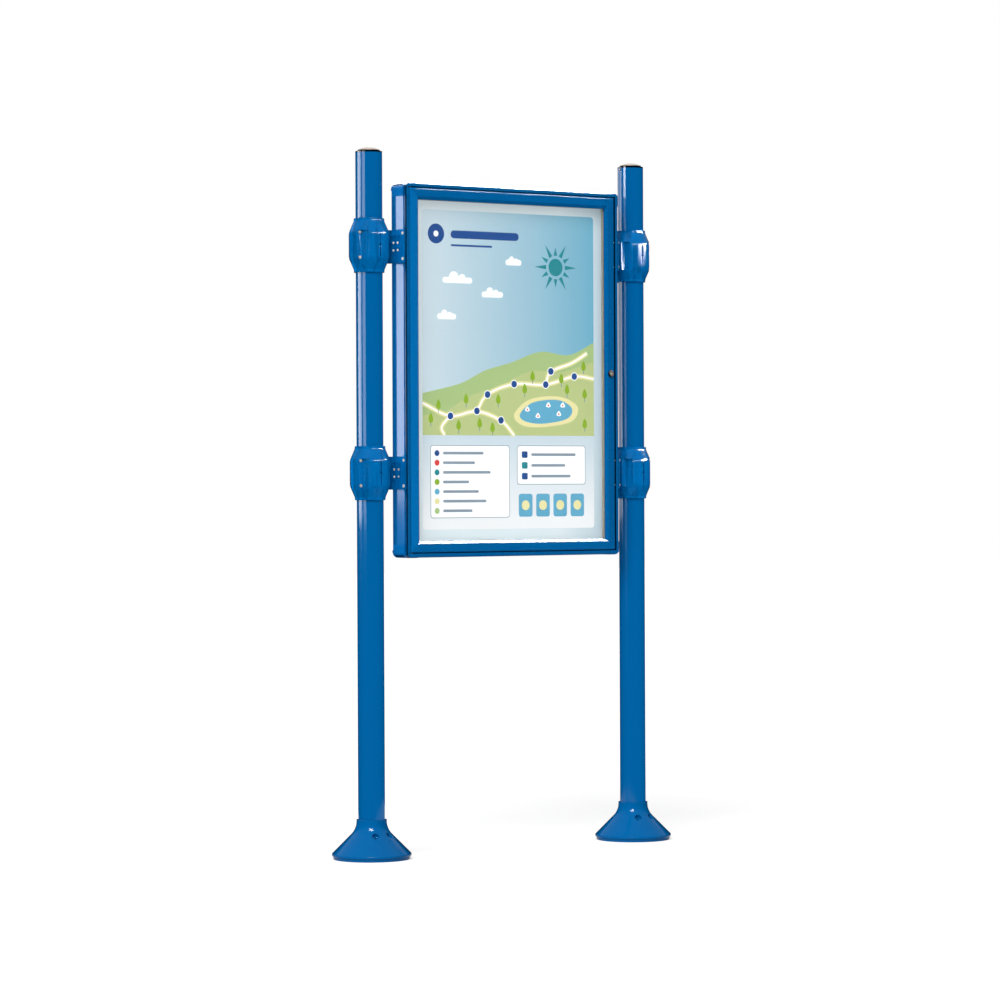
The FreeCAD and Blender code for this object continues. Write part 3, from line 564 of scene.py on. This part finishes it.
def keep_mesh(piece: Piece) -> None:
    """Turns an object's evaluated shape into its plain mesh."""
    depsgraph = bpy.context.evaluated_depsgraph_get()
    shaped = bpy.data.meshes.new_from_object(piece.evaluated_get(depsgraph))
    piece.modifiers.clear()
    piece.data = shaped


def link_piece(name: str, mesh: bpy.types.Mesh, material: Material, body: Body, slot: str) -> Piece:
    """Puts a mesh in the scene on its body.

    Args:
        name: Name of the piece.
        mesh: Its mesh, in place.
        material: Its finish.
        body: The body that it rides on.
        slot: The record's material slot; not used.

    Returns:
        The new object.
    """
    piece = bpy.data.objects.new(name, mesh)
    place_in_scene(piece)
    if not mesh.materials:
        mesh.materials.append(material)
    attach(piece, body.value)
    log.info("piece %s: %d faces on %s", name, len(mesh.polygons), body.value)
    return piece


@dataclass
class Workshop:
    """Materials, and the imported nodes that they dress."""

    materials: dict[str, Material] = field(default_factory=dict)

    def mix_paints(self) -> None:
        """Makes one material for each slot of the record."""
        for slot, finish in FINISHES.items():
            self.materials[slot] = finish.make()
            log.info("finish %s for slot %s", finish.name, slot)

    def slot_of(self, node: str) -> str:
        """The record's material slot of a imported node."""
        return next(entry["material_slot"] for entry in frame["record"]["subparts"]
                    if entry["node"] == node)

    def body_of(self, node: str) -> Body:
        """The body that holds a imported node."""
        bodies = frame["record"]["behaviour"]["bodies"]
        return Body(next(name for name, members in bodies.items() if node in members))

    def finish_of(self, node: str) -> Material:
        """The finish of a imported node: its own one, or else its slot's."""
        return self.materials[OWN_FINISH.get(node, self.slot_of(node))]

    def dress_nodes(self) -> None:
        """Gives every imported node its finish."""
        for name, node in frame["nodes"].items():
            for held in node.material_slots:
                held.material = self.finish_of(name)

    def ease(self, node: str) -> Piece:
        """A copy of a packed casting with eased edges, in its place.

        Args:
            node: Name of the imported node.

        Returns:
            The new piece.
        """
        mesh = frame["nodes"][node].data.copy()
        if "custom_normal" in mesh.attributes:
            mesh.attributes.remove(mesh.attributes["custom_normal"])
        shape = bmesh.new()
        shape.from_mesh(mesh)
        bmesh.ops.remove_doubles(shape, verts=shape.verts, dist=1e-6)
        bmesh.ops.dissolve_limit(shape, angle_limit=math.radians(0.4),
                                 verts=shape.verts, edges=shape.edges)
        for face in shape.faces:
            face.smooth = True
        shape.to_mesh(mesh)
        shape.free()
        finish = self.finish_of(node)
        piece = link_piece(f"{node}_eased", mesh, finish, self.body_of(node), self.slot_of(node))
        bevel = piece.modifiers.new("edges", "BEVEL")
        bevel.width = CAST_EASE
        bevel.segments = 2
        bevel.limit_method = "ANGLE"
        bevel.angle_limit = math.radians(32)
        keep_mesh(piece)
        piece.data.set_sharp_from_angle(angle=math.radians(35))
        piece.data.materials.clear()
        piece.data.materials.append(finish)
        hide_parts(node)
        return piece


def smooth_loop(anchors: Sequence[Point], steps: int = 10) -> list[Point]:
    """A closed curve through anchor points.

    Args:
        anchors: Points that the curve passes, in order.
        steps: Points for each stretch between two anchors.

    Returns:
        The curve's points.
    """
    count = len(anchors)
    made = []
    for index in range(count):
        p0, p1, p2, p3 = (anchors[(index + shift) % count] for shift in (-1, 0, 1, 2))
        for step in range(steps):
            t = step / steps
            made.append(tuple(
                0.5 * (2 * b + (c - a) * t + (2 * a - 5 * b + 4 * c - d) * t ** 2
                       + (3 * b - a - 3 * c + d) * t ** 3)
                for a, b, c, d in zip(p0, p1, p2, p3)
            ))
    return made


def smooth_path(anchors: Sequence[Point], steps: int = 10) -> list[Point]:
    """An open curve through anchor points."""
    first = [(2 * a - b) for a, b in zip(anchors[0], anchors[1])]
    last = [(2 * a - b) for a, b in zip(anchors[-1], anchors[-2])]
    whole = [tuple(first), *anchors, tuple(last)]
    made = smooth_loop(whole, steps)
    return made[steps:(len(whole) - 2) * steps + 1]


def disc(across: float, up: float, radius: float, count: int = 32) -> list[Point]:
    """Points of a circle."""
    turns = [2 * math.pi * index / count for index in range(count)]
    return [(across + radius * math.cos(t), up + radius * math.sin(t)) for t in turns]


def rounded(low_x: float, high_x: float, low_z: float, high_z: float, radius: float) -> list[Point]:
    """Points of a rectangle with rounded corners."""
    made = []
    spots = ((high_x - radius, low_z + radius, -90), (high_x - radius, high_z - radius, 0),
             (low_x + radius, high_z - radius, 90), (low_x + radius, low_z + radius, 180))
    for across, up, begin in spots:
        for step in range(7):
            turn = math.radians(begin + step * 15)
            made.append((across + radius * math.cos(turn), up + radius * math.sin(turn)))
    return made


def ribbon(line: Sequence[Point], wide: float) -> list[Point]:
    """The outline of a band of one width along a line."""
    left, right = [], []
    for index, point in enumerate(line):
        before = Vector(line[max(index - 1, 0)])
        after = Vector(line[min(index + 1, len(line) - 1)])
        along = (after - before).normalized()
        side = Vector((-along.y, along.x)) * wide / 2
        left.append((point[0] + side.x, point[1] + side.y))
        right.append((point[0] - side.x, point[1] - side.y))
    return left + right[::-1]


INKS = {
    # The sheet darkens towards its right edge: painted shade near the door frame.
    "sheet_tint": Ink("ink_sheet_tint", srgb(186, 202, 212), srgb(216, 227, 233), 0.2, 0.36, "X"),
    "sky": Ink("ink_sky", srgb(94, 163, 190), srgb(198, 212, 221), -0.34, 0.36, "X"),
    "base": Ink("ink_base", srgb(192, 207, 218), srgb(238, 237, 239), 0.96, 1.28),
    "meadow": Ink("ink_meadow", srgb(180, 192, 130)),
    "hill": Ink("ink_hill", srgb(162, 186, 124)),
    "sand": Ink("ink_sand", srgb(226, 218, 160)),
    "lake": Ink("ink_lake", srgb(92, 164, 196)),
    "navy": Ink("ink_navy", srgb(8, 66, 136)),
    "teal": Ink("ink_teal", srgb(16, 128, 138)),
    "white": Ink("ink_white", srgb(250, 251, 252)),
    "grey": Ink("ink_grey", srgb(126, 140, 156)),
    "red": Ink("ink_red", srgb(214, 52, 48)),
    "leaf": Ink("ink_leaf", srgb(132, 168, 28)),
}


@dataclass
class Poster:
    """A made-up plan of a park: hills, a lake, paths, markers and blank keys."""

    face: float = -23.8
    layer: float = 0.1
    left: float = -320.0
    right: float = 326.0
    foot: float = 1262.0
    press: float = 0.66
    prints: dict[str, list[tuple[int, list[Point]]]] = field(default_factory=dict)

    def put(self, ink: str, level: int, outline: list[Point]) -> None:
        """Adds one printed shape; a higher level lies over a lower one."""
        self.prints.setdefault(ink, []).append((level, outline))

    def box(self, ink: str, level: int, *sizes: float) -> None:
        """Adds one rectangle, given by X and Z from and to, and its corners' radius."""
        self.put(ink, level, rounded(*sizes))

    def land(self, points: Sequence[Point]) -> list[Point]:
        """Presses points of the land down towards the sky panel's foot."""
        return [(across, self.foot + (up - self.foot) * self.press) for across, up in points]

    def lay_ground(self) -> None:
        """Sheet, painted darker towards its right edge as shade, sky panel, hills and the lake."""
        self.box("sheet_tint", 1, -362, 362, 933, 1977, 3)
        low, high = self.left, self.right
        self.box("base", 2, low, high, 978, 1300, 10)
        self.box("sky", 2, low, high, self.foot, 1940, 10)
        ridge = smooth_path(self.land([(high, 1700), (230, 1640), (120, 1652), (10, 1600),
                                       (-90, 1560), (-180, 1500), (low, 1452)]))
        self.put("hill", 3, ridge + [(low, self.foot), (high, self.foot)])
        slope = smooth_path(self.land([(high, 1610), (200, 1560), (80, 1560), (-40, 1490),
                                       (-150, 1440), (-240, 1370), (low, 1352)]))
        self.put("meadow", 4, slope + [(low, self.foot), (high, self.foot)])
        shore = self.land([(20, 1360), (80, 1430), (190, 1445), (262, 1400),
                           (240, 1330), (130, 1302), (50, 1310)])
        water = self.land([(42, 1362), (92, 1416), (186, 1429), (240, 1392),
                           (222, 1342), (130, 1318), (62, 1328)])
        self.put("sand", 5, smooth_loop(shore))
        self.put("lake", 6, smooth_loop(water))

    def lay_paths(self) -> None:
        """Cream paths with white middles."""
        lines = (
            [(self.left, 1408), (-220, 1350), (-120, 1372), (-30, 1330), (20, self.foot)],
            [(-120, 1372), (-80, 1450), (20, 1500), (140, 1500), (250, 1540), (self.right, 1530)],
            [(140, 1500), (160, 1560), (240, 1602), (300, 1650)],
            [(-220, 1350), (-250, 1300), (-240, self.foot)],
        )
        for anchors in lines:
            line = smooth_path(self.land(anchors))
            self.put("sand", 7, ribbon(line, 15))
            self.put("white", 8, ribbon(line, 5))

    def lay_marks(self) -> None:
        """Trees, blank stops, floats, a title left blank, a sun and clouds."""
        trees = ((-290, 1330), (-262, 1392), (-188, 1300), (-160, 1420), (-62, 1290),
                 (-40, 1420), (60, 1470), (222, 1470), (290, 1450), (290, 1310),
                 (286, 1580), (90, 1530), (-110, 1310), (200, 1520))
        for across, up in self.land(trees):
            self.box("grey", 8, across - 1.5, across + 1.5, up - 20, up, 1)
            self.put("leaf", 9, smooth_loop([(across, up + 22), (across + 9, up + 2),
                                             (across, up - 9), (across - 9, up + 2)], 6))
        stops = ((-218, 1350), (-120, 1374), (-30, 1332), (20, 1500), (140, 1500),
                 (250, 1540), (160, 1562), (-80, 1450))
        for across, up in self.land(stops):
            self.put("white", 9, disc(across, up, 13))
            self.put("navy", 10, disc(across, up, 10.5))
        floats = ((70, 1380), (110, 1350), (150, 1400), (190, 1360), (205, 1400))
        for across, up in self.land(floats):
            self.put("white", 9, smooth_loop([(across - 9, up), (across, up - 4),
                                              (across + 9, up), (across, up + 12)], 6))
            self.put("red", 10, disc(across, up + 2, 3))
        self.put("navy", 3, disc(-268, 1868, 30, 48))
        self.put("white", 4, disc(-268, 1868, 9, 48))
        self.box("navy", 3, -214, 40, 1856, 1880, 12)
        self.box("navy", 3, -214, -60, 1832, 1838, 3)
        for turn in range(12):
            angle = math.radians(turn * 30)
            near, far = (36, 62) if turn % 2 else (36, 80)
            side = angle + math.pi / 2
            tip = (180 + far * math.cos(angle), 1780 + far * math.sin(angle))
            foot = [(180 + near * math.cos(angle) + 7 * hand * math.cos(side),
                     1780 + near * math.sin(angle) + 7 * hand * math.sin(side))
                    for hand in (-1, 1)]
            self.put("teal", 3, [foot[0], tip, foot[1]])
        self.put("teal", 4, disc(180, 1780, 27, 40))
        for across, up, wide in ((-190, 1730, 110), (-60, 1690, 80), (-230, 1620, 70),
                                 (20, 1790, 60)):
            self.box("white", 3, across - wide / 2, across + wide / 2, up - 9, up + 9, 9)
            self.put("white", 4, disc(across - wide * 0.12, up + 9, wide * 0.16))
            self.put("white", 4, disc(across + wide * 0.16, up + 6, wide * 0.12))

    def lay_keys(self) -> None:
        """Boxes with coloured chips and blank bars below the plan."""
        self.box("grey", 5, -292, 2, 1012, 1232, 9)
        self.box("white", 6, -290, 0, 1014, 1230, 8)
        chips = ("navy", "red", "teal", "leaf", "lake", "sand", "hill")
        for row, (ink, wide) in enumerate(zip(chips, (150, 118, 176, 96, 132, 160, 108))):
            up = 1208 - row * 29
            self.put(ink, 7, disc(-268, up, 9))
            self.box("grey", 7, -246, -246 + wide, up - 4, up + 4, 4)
        self.box("grey", 5, 30, 292, 1112, 1232, 9)
        self.box("white", 6, 32, 290, 1114, 1230, 8)
        for row, ink in enumerate(("navy", "teal", "navy")):
            up = 1204 - row * 33
            self.box(ink, 7, 48, 70, up - 10, up + 10, 4)
            self.box("grey", 7, 84, 84 + (170, 130, 150)[row], up - 4, up + 4, 4)
        for column in range(4):
            across = 62 + column * 66
            self.box("lake", 7, across - 26, across + 26, 1014, 1084, 8)
            self.put("sand", 8, disc(across, 1049, 15))

    def build(self, shop: "Workshop") -> None:
        """Turns the shapes into one thin mesh for each ink."""
        self.lay_ground()
        self.lay_paths()
        self.lay_marks()
        self.lay_keys()
        for ink, shapes in self.prints.items():
            verts, faces = [], []
            for level, outline in shapes:
                depth = (self.face - self.layer * level) * MM
                first = len(verts)
                area = sum(a[0] * b[1] - b[0] * a[1]
                           for a, b in zip(outline, outline[1:] + outline[:1]))
                ordered = outline if area > 0 else outline[::-1]
                verts += [(across * MM, depth, up * MM) for across, up in ordered]
                faces.append(range(first, len(verts)))
            mesh = bpy.data.meshes.new(f"poster_{ink}")
            mesh.from_pydata(verts, [], faces)
            link_piece(f"poster_{ink}", mesh, INKS[ink].make(), Body.STAND, "poster_paper")


@dataclass(frozen=True)
class HeadStyle:
    """Sizes of one kind of fastener head, in metres."""

    radius: float
    height: float
    socket: float
    sides: int


FLANGE_SCREW = HeadStyle(0.0048, 0.0026, 0.0022, 6)
FLANGE_RIVET = HeadStyle(0.0036, 0.0019, 0.0012, 12)
HEADS = {
    "clamp_bolts": HeadStyle(0.0044, 0.0034, 0.0021, 6),
    "left_flange_screws": FLANGE_SCREW,
    "right_flange_screws": FLANGE_SCREW,
    "left_flange_rivets": FLANGE_RIVET,
    "right_flange_rivets": FLANGE_RIVET,
    "back_panel_rivets": HeadStyle(0.0041, 0.0014, 0.0012, 12),
    "cam_screw": HeadStyle(0.0041, 0.0022, 0.0015, 6),
}


class HeadTree:
    """Geometry Nodes tree that puts a domed, socketed head on every point."""

    def __init__(self) -> None:
        """Builds the tree once."""
        self.tree = bpy.data.node_groups.new("fastener_heads", "GeometryNodeTree")
        self.names = ("Radius", "Height", "Socket", "Sides", "Axis", "Finish")
        kinds = ("Float", "Float", "Float", "Int", "Vector", "Material")
        for way in ("INPUT", "OUTPUT"):
            self.tree.interface.new_socket("Geometry", in_out=way, socket_type="NodeSocketGeometry")
        for name, kind in zip(self.names, kinds):
            self.tree.interface.new_socket(name, in_out="INPUT", socket_type=f"NodeSocket{kind}")
        graph = NodeGraph(self.tree)
        entry = graph.add("NodeGroupInput").outputs
        ball = graph.add("GeometryNodeMeshUVSphere", Segments=28, Rings=20, Radius=1.0)
        squash = graph.add("ShaderNodeCombineXYZ", X=entry["Radius"], Y=entry["Radius"],
                           Z=entry["Height"])
        dome = graph.add("GeometryNodeTransform", Geometry=ball, Scale=squash)
        key = graph.add("GeometryNodeMeshCylinder", Vertices=entry["Sides"],
                        Radius=entry["Socket"], Depth=entry["Height"])
        lift = graph.add("ShaderNodeCombineXYZ", Z=entry["Height"])
        socket = graph.add("GeometryNodeTransform", Geometry=key, Translation=lift)
        cut = graph.add("GeometryNodeMeshBoolean", {"operation": "DIFFERENCE"})
        graph.feed(cut.inputs["Mesh 1"], dome)
        graph.feed(cut.inputs["Mesh 2"], socket)
        turn = graph.add("FunctionNodeAlignRotationToVector", {"axis": "Z"}, Vector=entry["Axis"])
        placed = graph.add("GeometryNodeInstanceOnPoints", Points=entry["Geometry"],
                           Instance=cut, Rotation=turn)
        whole = graph.add("GeometryNodeRealizeInstances", Geometry=placed)
        finished = graph.add("GeometryNodeSetMaterial", Geometry=whole, Material=entry["Finish"])
        graph.add("NodeGroupOutput", Geometry=finished)

    def socket(self, name: str) -> str:
        """Identifier of one input."""
        return next(item.identifier for item in self.tree.interface.items_tree
                    if item.in_out == "INPUT" and item.name == name)


@dataclass
class Fasteners:
    """Screws and rivets whose plain heads get a dome and a socket.

    Sink and rise are shares of a head's height.
    """

    shop: Workshop
    sink: float = 0.45
    rise: float = 0.7

    def islands(self, node: str) -> list[list[Vector]]:
        """Vertex places of each separate fastener of a node."""
        shape = bmesh.new()
        shape.from_mesh(frame["nodes"][node].data)
        bmesh.ops.remove_doubles(shape, verts=shape.verts, dist=1e-6)
        left = set(shape.verts)
        found = []
        while left:
            stack, group = [left.pop()], []
            while stack:
                vert = stack.pop()
                group.append(vert.co.copy())
                for edge in vert.link_edges:
                    other = edge.other_vert(vert)
                    if other in left:
                        left.discard(other)
                        stack.append(other)
            found.append(group)
        shape.free()
        return found

    def heads(self, node: str) -> tuple[list[Vector], Vector]:
        """Middles of the heads' seats, and the way the heads point."""
        spots, out = [], Vector()
        for group in self.islands(node):
            low = Vector([min(v[i] for v in group) for i in range(3)])
            high = Vector([max(v[i] for v in group) for i in range(3)])
            long = max(range(3), key=lambda i: high[i] - low[i])
            middle = (low + high) / 2
            wide = {}
            for end in (low[long], high[long]):
                ring = [v for v in group if abs(v[long] - end) < 1e-5]
                wide[end] = max((v - Vector([end if i == long else middle[i]
                                             for i in range(3)])).length for v in ring)
            top = max(wide, key=wide.get)
            out = Vector([0.0, 0.0, 0.0])
            out[long] = 1.0 if top == high[long] else -1.0
            spot = middle.copy()
            spot[long] = top
            spots.append(spot)
        return spots, out

    def build(self) -> None:
        """Puts a dressed head over every plain one."""
        tree = HeadTree()
        for node, style in HEADS.items():
            spots, out = self.heads(node)
            sunk = [spot - out * style.height * self.sink for spot in spots]
            mesh = bpy.data.meshes.new(f"{node}_heads")
            mesh.from_pydata(sunk, [], [])
            finish = self.shop.finish_of(node)
            piece = link_piece(f"{node}_heads", mesh, finish, self.shop.body_of(node),
                               self.shop.slot_of(node))
            grow = piece.modifiers.new("heads", "NODES")
            grow.node_group = tree.tree
            sizes = (style.radius, style.height * self.rise, style.socket, style.sides)
            for name, value in zip(tree.names, (*sizes, out, finish)):
                grow[tree.socket(name)] = value
            keep_mesh(piece)
            piece.data.shade_smooth()
            piece.data.set_sharp_from_angle(angle=math.radians(40))
            log.info("%s: %d heads", node, len(spots))


def link_pieces(lamp: Piece, parts: tuple[str, ...]) -> None:
    """Lets a lamp light only the pieces whose names fit one of the patterns."""
    group = bpy.data.collections.new(f"{lamp.name}_pieces")
    for piece in bpy.context.scene.objects:
        if piece.type == "MESH" and any(fnmatch(piece.name, part) for part in parts):
            group.objects.link(piece)
    lamp.light_linking.receiver_collection = group


@dataclass(frozen=True)
class Panel:
    """A lamp that only the pieces it is hung for reflect.

    Turn is in degrees about the middle of the board, from +X towards +Y. The
    other numbers are metres, and the glow is the lamp's radiance.
    """

    name: str
    turn: float
    height: float
    wide: float
    tall: float
    glow: float
    lit: tuple[str, ...]
    reach: float = 6.0
    shaded: bool = True

    def hang(self) -> None:
        """Adds the lamp and the collection of pieces that it lights."""
        angle = math.radians(self.turn)
        spot = Vector((math.cos(angle) * self.reach, math.sin(angle) * self.reach, self.height))
        level = TILT_AIM if self.height > HIGH_LAMP else self.height
        data = bpy.data.lights.new(self.name, "AREA")
        data.shape = "RECTANGLE"
        data.size = self.wide
        data.size_y = self.tall
        data.energy = self.glow * math.pi * self.wide * self.tall
        data.use_shadow = self.shaded
        made = bpy.data.objects.new(self.name, data)
        made.location = spot
        made.rotation_euler = (Vector((0.0, 0.0, level)) - spot).to_track_quat(
            "-Z", "Y").to_euler()
        made.visible_camera = False
        made.visible_diffuse = False
        made.visible_transmission = False
        place_in_scene(made)
        link_pieces(made, self.lit)


HIGH_LAMP = 3.0  # lamps hung above this are tilted down
TILT_AIM = 1.2  # to this height on the board
CASE_FRONT = ("case_top*", "case_right*", "door_*rail", "door_*stile")
FLANGE_HEADS = ("*flange_screws*", "*flange_rivets*", "*cap_rivet")
ALL_HEADS = ("*flange_screws*", "clamp_bolts*", "*rivet*", "*post_cap")
PANELS = (
    Panel("panel_far_left", 145.5, 2.50, 3.8, 3.1, 15.0, ("left_post",)),
    Panel("panel_near_left", 188.5, 2.50, 2.6, 3.1, 9.0, ("left_post",)),
    Panel("panel_far_right", 131.0, 2.50, 2.4, 3.1, 9.0, ("right_post",)),
    Panel("panel_limb_right", 98.0, 2.50, 4.2, 3.1, 2.4, ("right_post",)),
    Panel("panel_near_right", 177.5, 2.50, 2.2, 3.1, 36.0, ("right_post",), shaded=False),
    Panel("panel_wall", 136.0, 2.62, 3.2, 3.1, 9.6, ("case_left*",)),
    Panel("panel_front_high", 264.0, 3.7, 3.0, 0.5, 190.0, ("*clamp_front*",)),
    Panel("panel_middle_high", 300.0, 3.7, 3.4, 0.5, 250.0, ("*clamp_front*",)),
    Panel("panel_side_high", 334.0, 3.6, 3.2, 0.5, 230.0, ("*clamp_front*",)),
    Panel("panel_back_high", 80.0, 5.9, 5.0, 1.8, 20.0, ("*corner", "case_top_wall")),
    Panel("panel_corner", 150.0, 4.6, 4.0, 0.6, 200.0, ("*_corner",)),
    Panel("panel_right_high", 346.0, 8.6, 4.8, 3.8, 150.0, CASE_FRONT),
    Panel("panel_spot", 228.0, 4.9, 2.6, 2.6, 125.0, ("*base_cover*",)),
    Panel("panel_right_low", 313.0, 2.5, 3.0, 0.9, 240.0, ("right_upper_clamp_front*",), 3.2),
    Panel("panel_shoulder", 322.0, 3.5, 4.0, 1.2, 520.0, ("right_lower_clamp_front*",)),
    Panel("panel_lock", 304.0, 1.64, 1.2, 1.2, 4.0, ("lock_body", "lock_plug")),
    Panel("panel_flange", 150.0, 2.2, 1.6, 1.6, 22.0, FLANGE_HEADS, shaded=False),
    Panel("panel_heads", 236.0, 2.2, 6.0, 4.0, 1.0, ALL_HEADS, shaded=False),
    Panel("panel_bolts", 304.0, 1.9, 3.0, 3.6, 4.0, ("clamp_bolts*",), shaded=False),
)


# Name, way of the light, strength and the pieces lit.
LIGHTS = (
    ("soft_key", (0.62, 0.46, -0.64), 2.42),
    ("side_fill", (0.97, 0.1, -0.2), 1.5, ("*clamp_bracket*", "case_left*", "*left_corner")),
    ("poster_fill", (0.0, 1.0, -0.1), 1.1, ("poster_*", "display_panel")),
    ("post_fill", (-0.83, 0.56, 0.0), 1.0, ("*_post", "*clamp*")),
    ("arm_fill", (0.97, 0.1, -0.2), 1.2, ("*clamp_bracket*",)),
    ("stile_fill", (0.0, 1.0, -0.1), 0.9, ("door_left_stile",)),
    ("clamp_fill", (0.3, 1.0, -0.3), 0.9, ("*clamp_front*",)),
    ("door_fill", (0.0, 1.0, -0.1), 0.32, ("door_left_stile", "door_top_rail", "door_bottom_rail")),
)


@dataclass
class Studio:
    """Camera, lamps, floor and background."""

    position: tuple[float, float, float] = (-6.5316, -9.0071, 1.1043)
    yaw: float = 35.88
    pitch: float = -0.20
    roll: float = -0.25
    lens: float = 131.1
    floor_span: float = 60.0
    ambient: float = 0.42
    key_angle: float = 35.0
    fill_angle: float = 20.0
    flag_reach: float = 9.0
    flag_tall: float = 4.4
    flag_foot: float = 0.01
    carpet_hole: float = 0.15

    def set_camera(self) -> None:
        """Stands the camera where the photograph was taken from."""
        data = bpy.data.cameras.new("camera")
        data.lens = self.lens
        data.sensor_width = 36.0
        data.clip_end = 200.0
        camera = bpy.data.objects.new("camera", data)
        yaw, pitch, roll = (math.radians(a) for a in (self.yaw, self.pitch, self.roll))
        ahead = Vector((math.sin(yaw) * math.cos(pitch), math.cos(yaw) * math.cos(pitch),
                        math.sin(pitch)))
        right = Vector((math.cos(yaw), -math.sin(yaw), 0.0))
        above = right.cross(ahead)
        tilted = right * math.cos(roll) + above * math.sin(roll)
        crown = above * math.cos(roll) - right * math.sin(roll)
        turn = Matrix((tilted, crown, -ahead)).transposed().to_4x4()
        camera.matrix_world = Matrix.Translation(self.position) @ turn
        place_in_scene(camera)
        bpy.context.scene.camera = camera

    def hang_light(self, name: str, way: tuple[float, float, float], glow: float,
                   lit: tuple[str, ...] = ()) -> None:
        """The broad soft key, or a fill without shadows for some of the pieces.

        Args:
            name: Name of the lamp.
            way: The way that its light goes.
            glow: Its strength.
            lit: Patterns of the pieces' names. The key lights them all.
        """
        data = bpy.data.lights.new(name, "SUN")
        data.energy = glow
        data.angle = math.radians(self.fill_angle if lit else self.key_angle)
        data.use_shadow = not lit
        made = bpy.data.objects.new(name, data)
        made.rotation_euler = Vector(way).to_track_quat("-Z", "Y").to_euler()
        made.visible_glossy = False
        place_in_scene(made)
        if lit:
            link_pieces(made, lit)

    def stand(self, name: str, verts: list, faces: list, finish: Material) -> Piece:
        """Sets up a piece of the studio that isn't part of the board.

        Args:
            name: Name of the piece.
            verts: Its points.
            faces: Its faces.
            finish: Its material.

        Returns:
            The new object.
        """
        mesh = bpy.data.meshes.new(name)
        mesh.from_pydata(verts, [], faces)
        mesh.materials.append(finish)
        made = bpy.data.objects.new(name, mesh)
        place_in_scene(made)
        return made

    def hang_flags(self) -> None:
        """A dark curtain and carpet round the board, which only reflections see."""
        made, graph = new_material("studio_flag")
        weave = graph.span(graph.noise(graph.place(), 30.0, 2.0), 0.3, 0.7)
        dark = graph.mix(weave, srgb(14, 20, 30), srgb(20, 28, 40))
        graph.shade(Base_Color=dark, Roughness=1.0, Specular_IOR_Level=0.0)
        verts, faces = [], []
        for step, turn in enumerate(range(0, 361, 5)):
            across = self.flag_reach * math.cos(math.radians(turn))
            back = self.flag_reach * math.sin(math.radians(turn))
            verts += [(across, back, self.flag_foot), (across, back, self.flag_tall),
                      (across * self.carpet_hole, back * self.carpet_hole, self.flag_foot)]
            if step:
                last = 3 * step
                faces.append((last - 3, last, last + 1, last - 2))
                faces.append((last - 1, last + 2, last, last - 3))
        flag = self.stand("flag", verts, faces, made)
        for sense in ("camera", "diffuse", "transmission", "shadow", "volume_scatter"):
            setattr(flag, f"visible_{sense}", False)

    def lay_floor(self) -> None:
        """Pale floor and a white world."""
        made, graph = new_material("studio_floor")
        tone = graph.span(graph.noise(graph.place(), 3.0, 3.0), 0.3, 0.7)
        pale = graph.mix(tone, srgb(206, 206, 206), srgb(203, 203, 204))
        graph.shade(Base_Color=pale, Roughness=0.9, Specular_IOR_Level=0.0)
        seen = graph.seen_rays()
        graph.shade(Emission_Color=(1, 1, 1, 1), Emission_Strength=graph.times(seen, 0.55))
        half = self.floor_span / 2
        corners = [(-half, -half, 0), (half, -half, 0), (half, half, 0), (-half, half, 0)]
        self.stand("floor", corners, [(0, 1, 2, 3)], made)
        world = bpy.data.worlds.new("studio")
        bpy.context.scene.world = world
        world.use_nodes = True
        graph = NodeGraph(world.node_tree)
        strength = graph.span(graph.seen_rays(), 0.0, 1.0, self.ambient, 1.0)
        sky = graph.add("ShaderNodeBackground", Color=(1, 1, 1, 1), Strength=strength)
        graph.add("ShaderNodeOutputWorld", Surface=sky)


def clear_start() -> None:
    """Removes what Blender opens with."""
    for name in ("Cube", "Light", "Camera"):
        if name in bpy.data.objects:
            bpy.data.objects.remove(bpy.data.objects[name])


def main() -> None:
    """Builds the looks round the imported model."""
    logging.basicConfig(level=logging.INFO, format="%(name)s: %(message)s")
    clear_start()
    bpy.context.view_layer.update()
    scene = bpy.context.scene
    scene.view_settings.view_transform = "Standard"
    workshop = Workshop()
    workshop.mix_paints()
    workshop.dress_nodes()
    for node in frame["nodes"]:
        if any(kind in node for kind in CASTINGS):
            workshop.ease(node)
    Fasteners(workshop).build()
    Poster().build(workshop)
    studio = Studio()
    studio.set_camera()
    for light in LIGHTS:
        studio.hang_light(*light)
    for panel in PANELS:
        panel.hang()
    studio.hang_flags()
    studio.lay_floor()


if __name__ == "__main__":
    main()
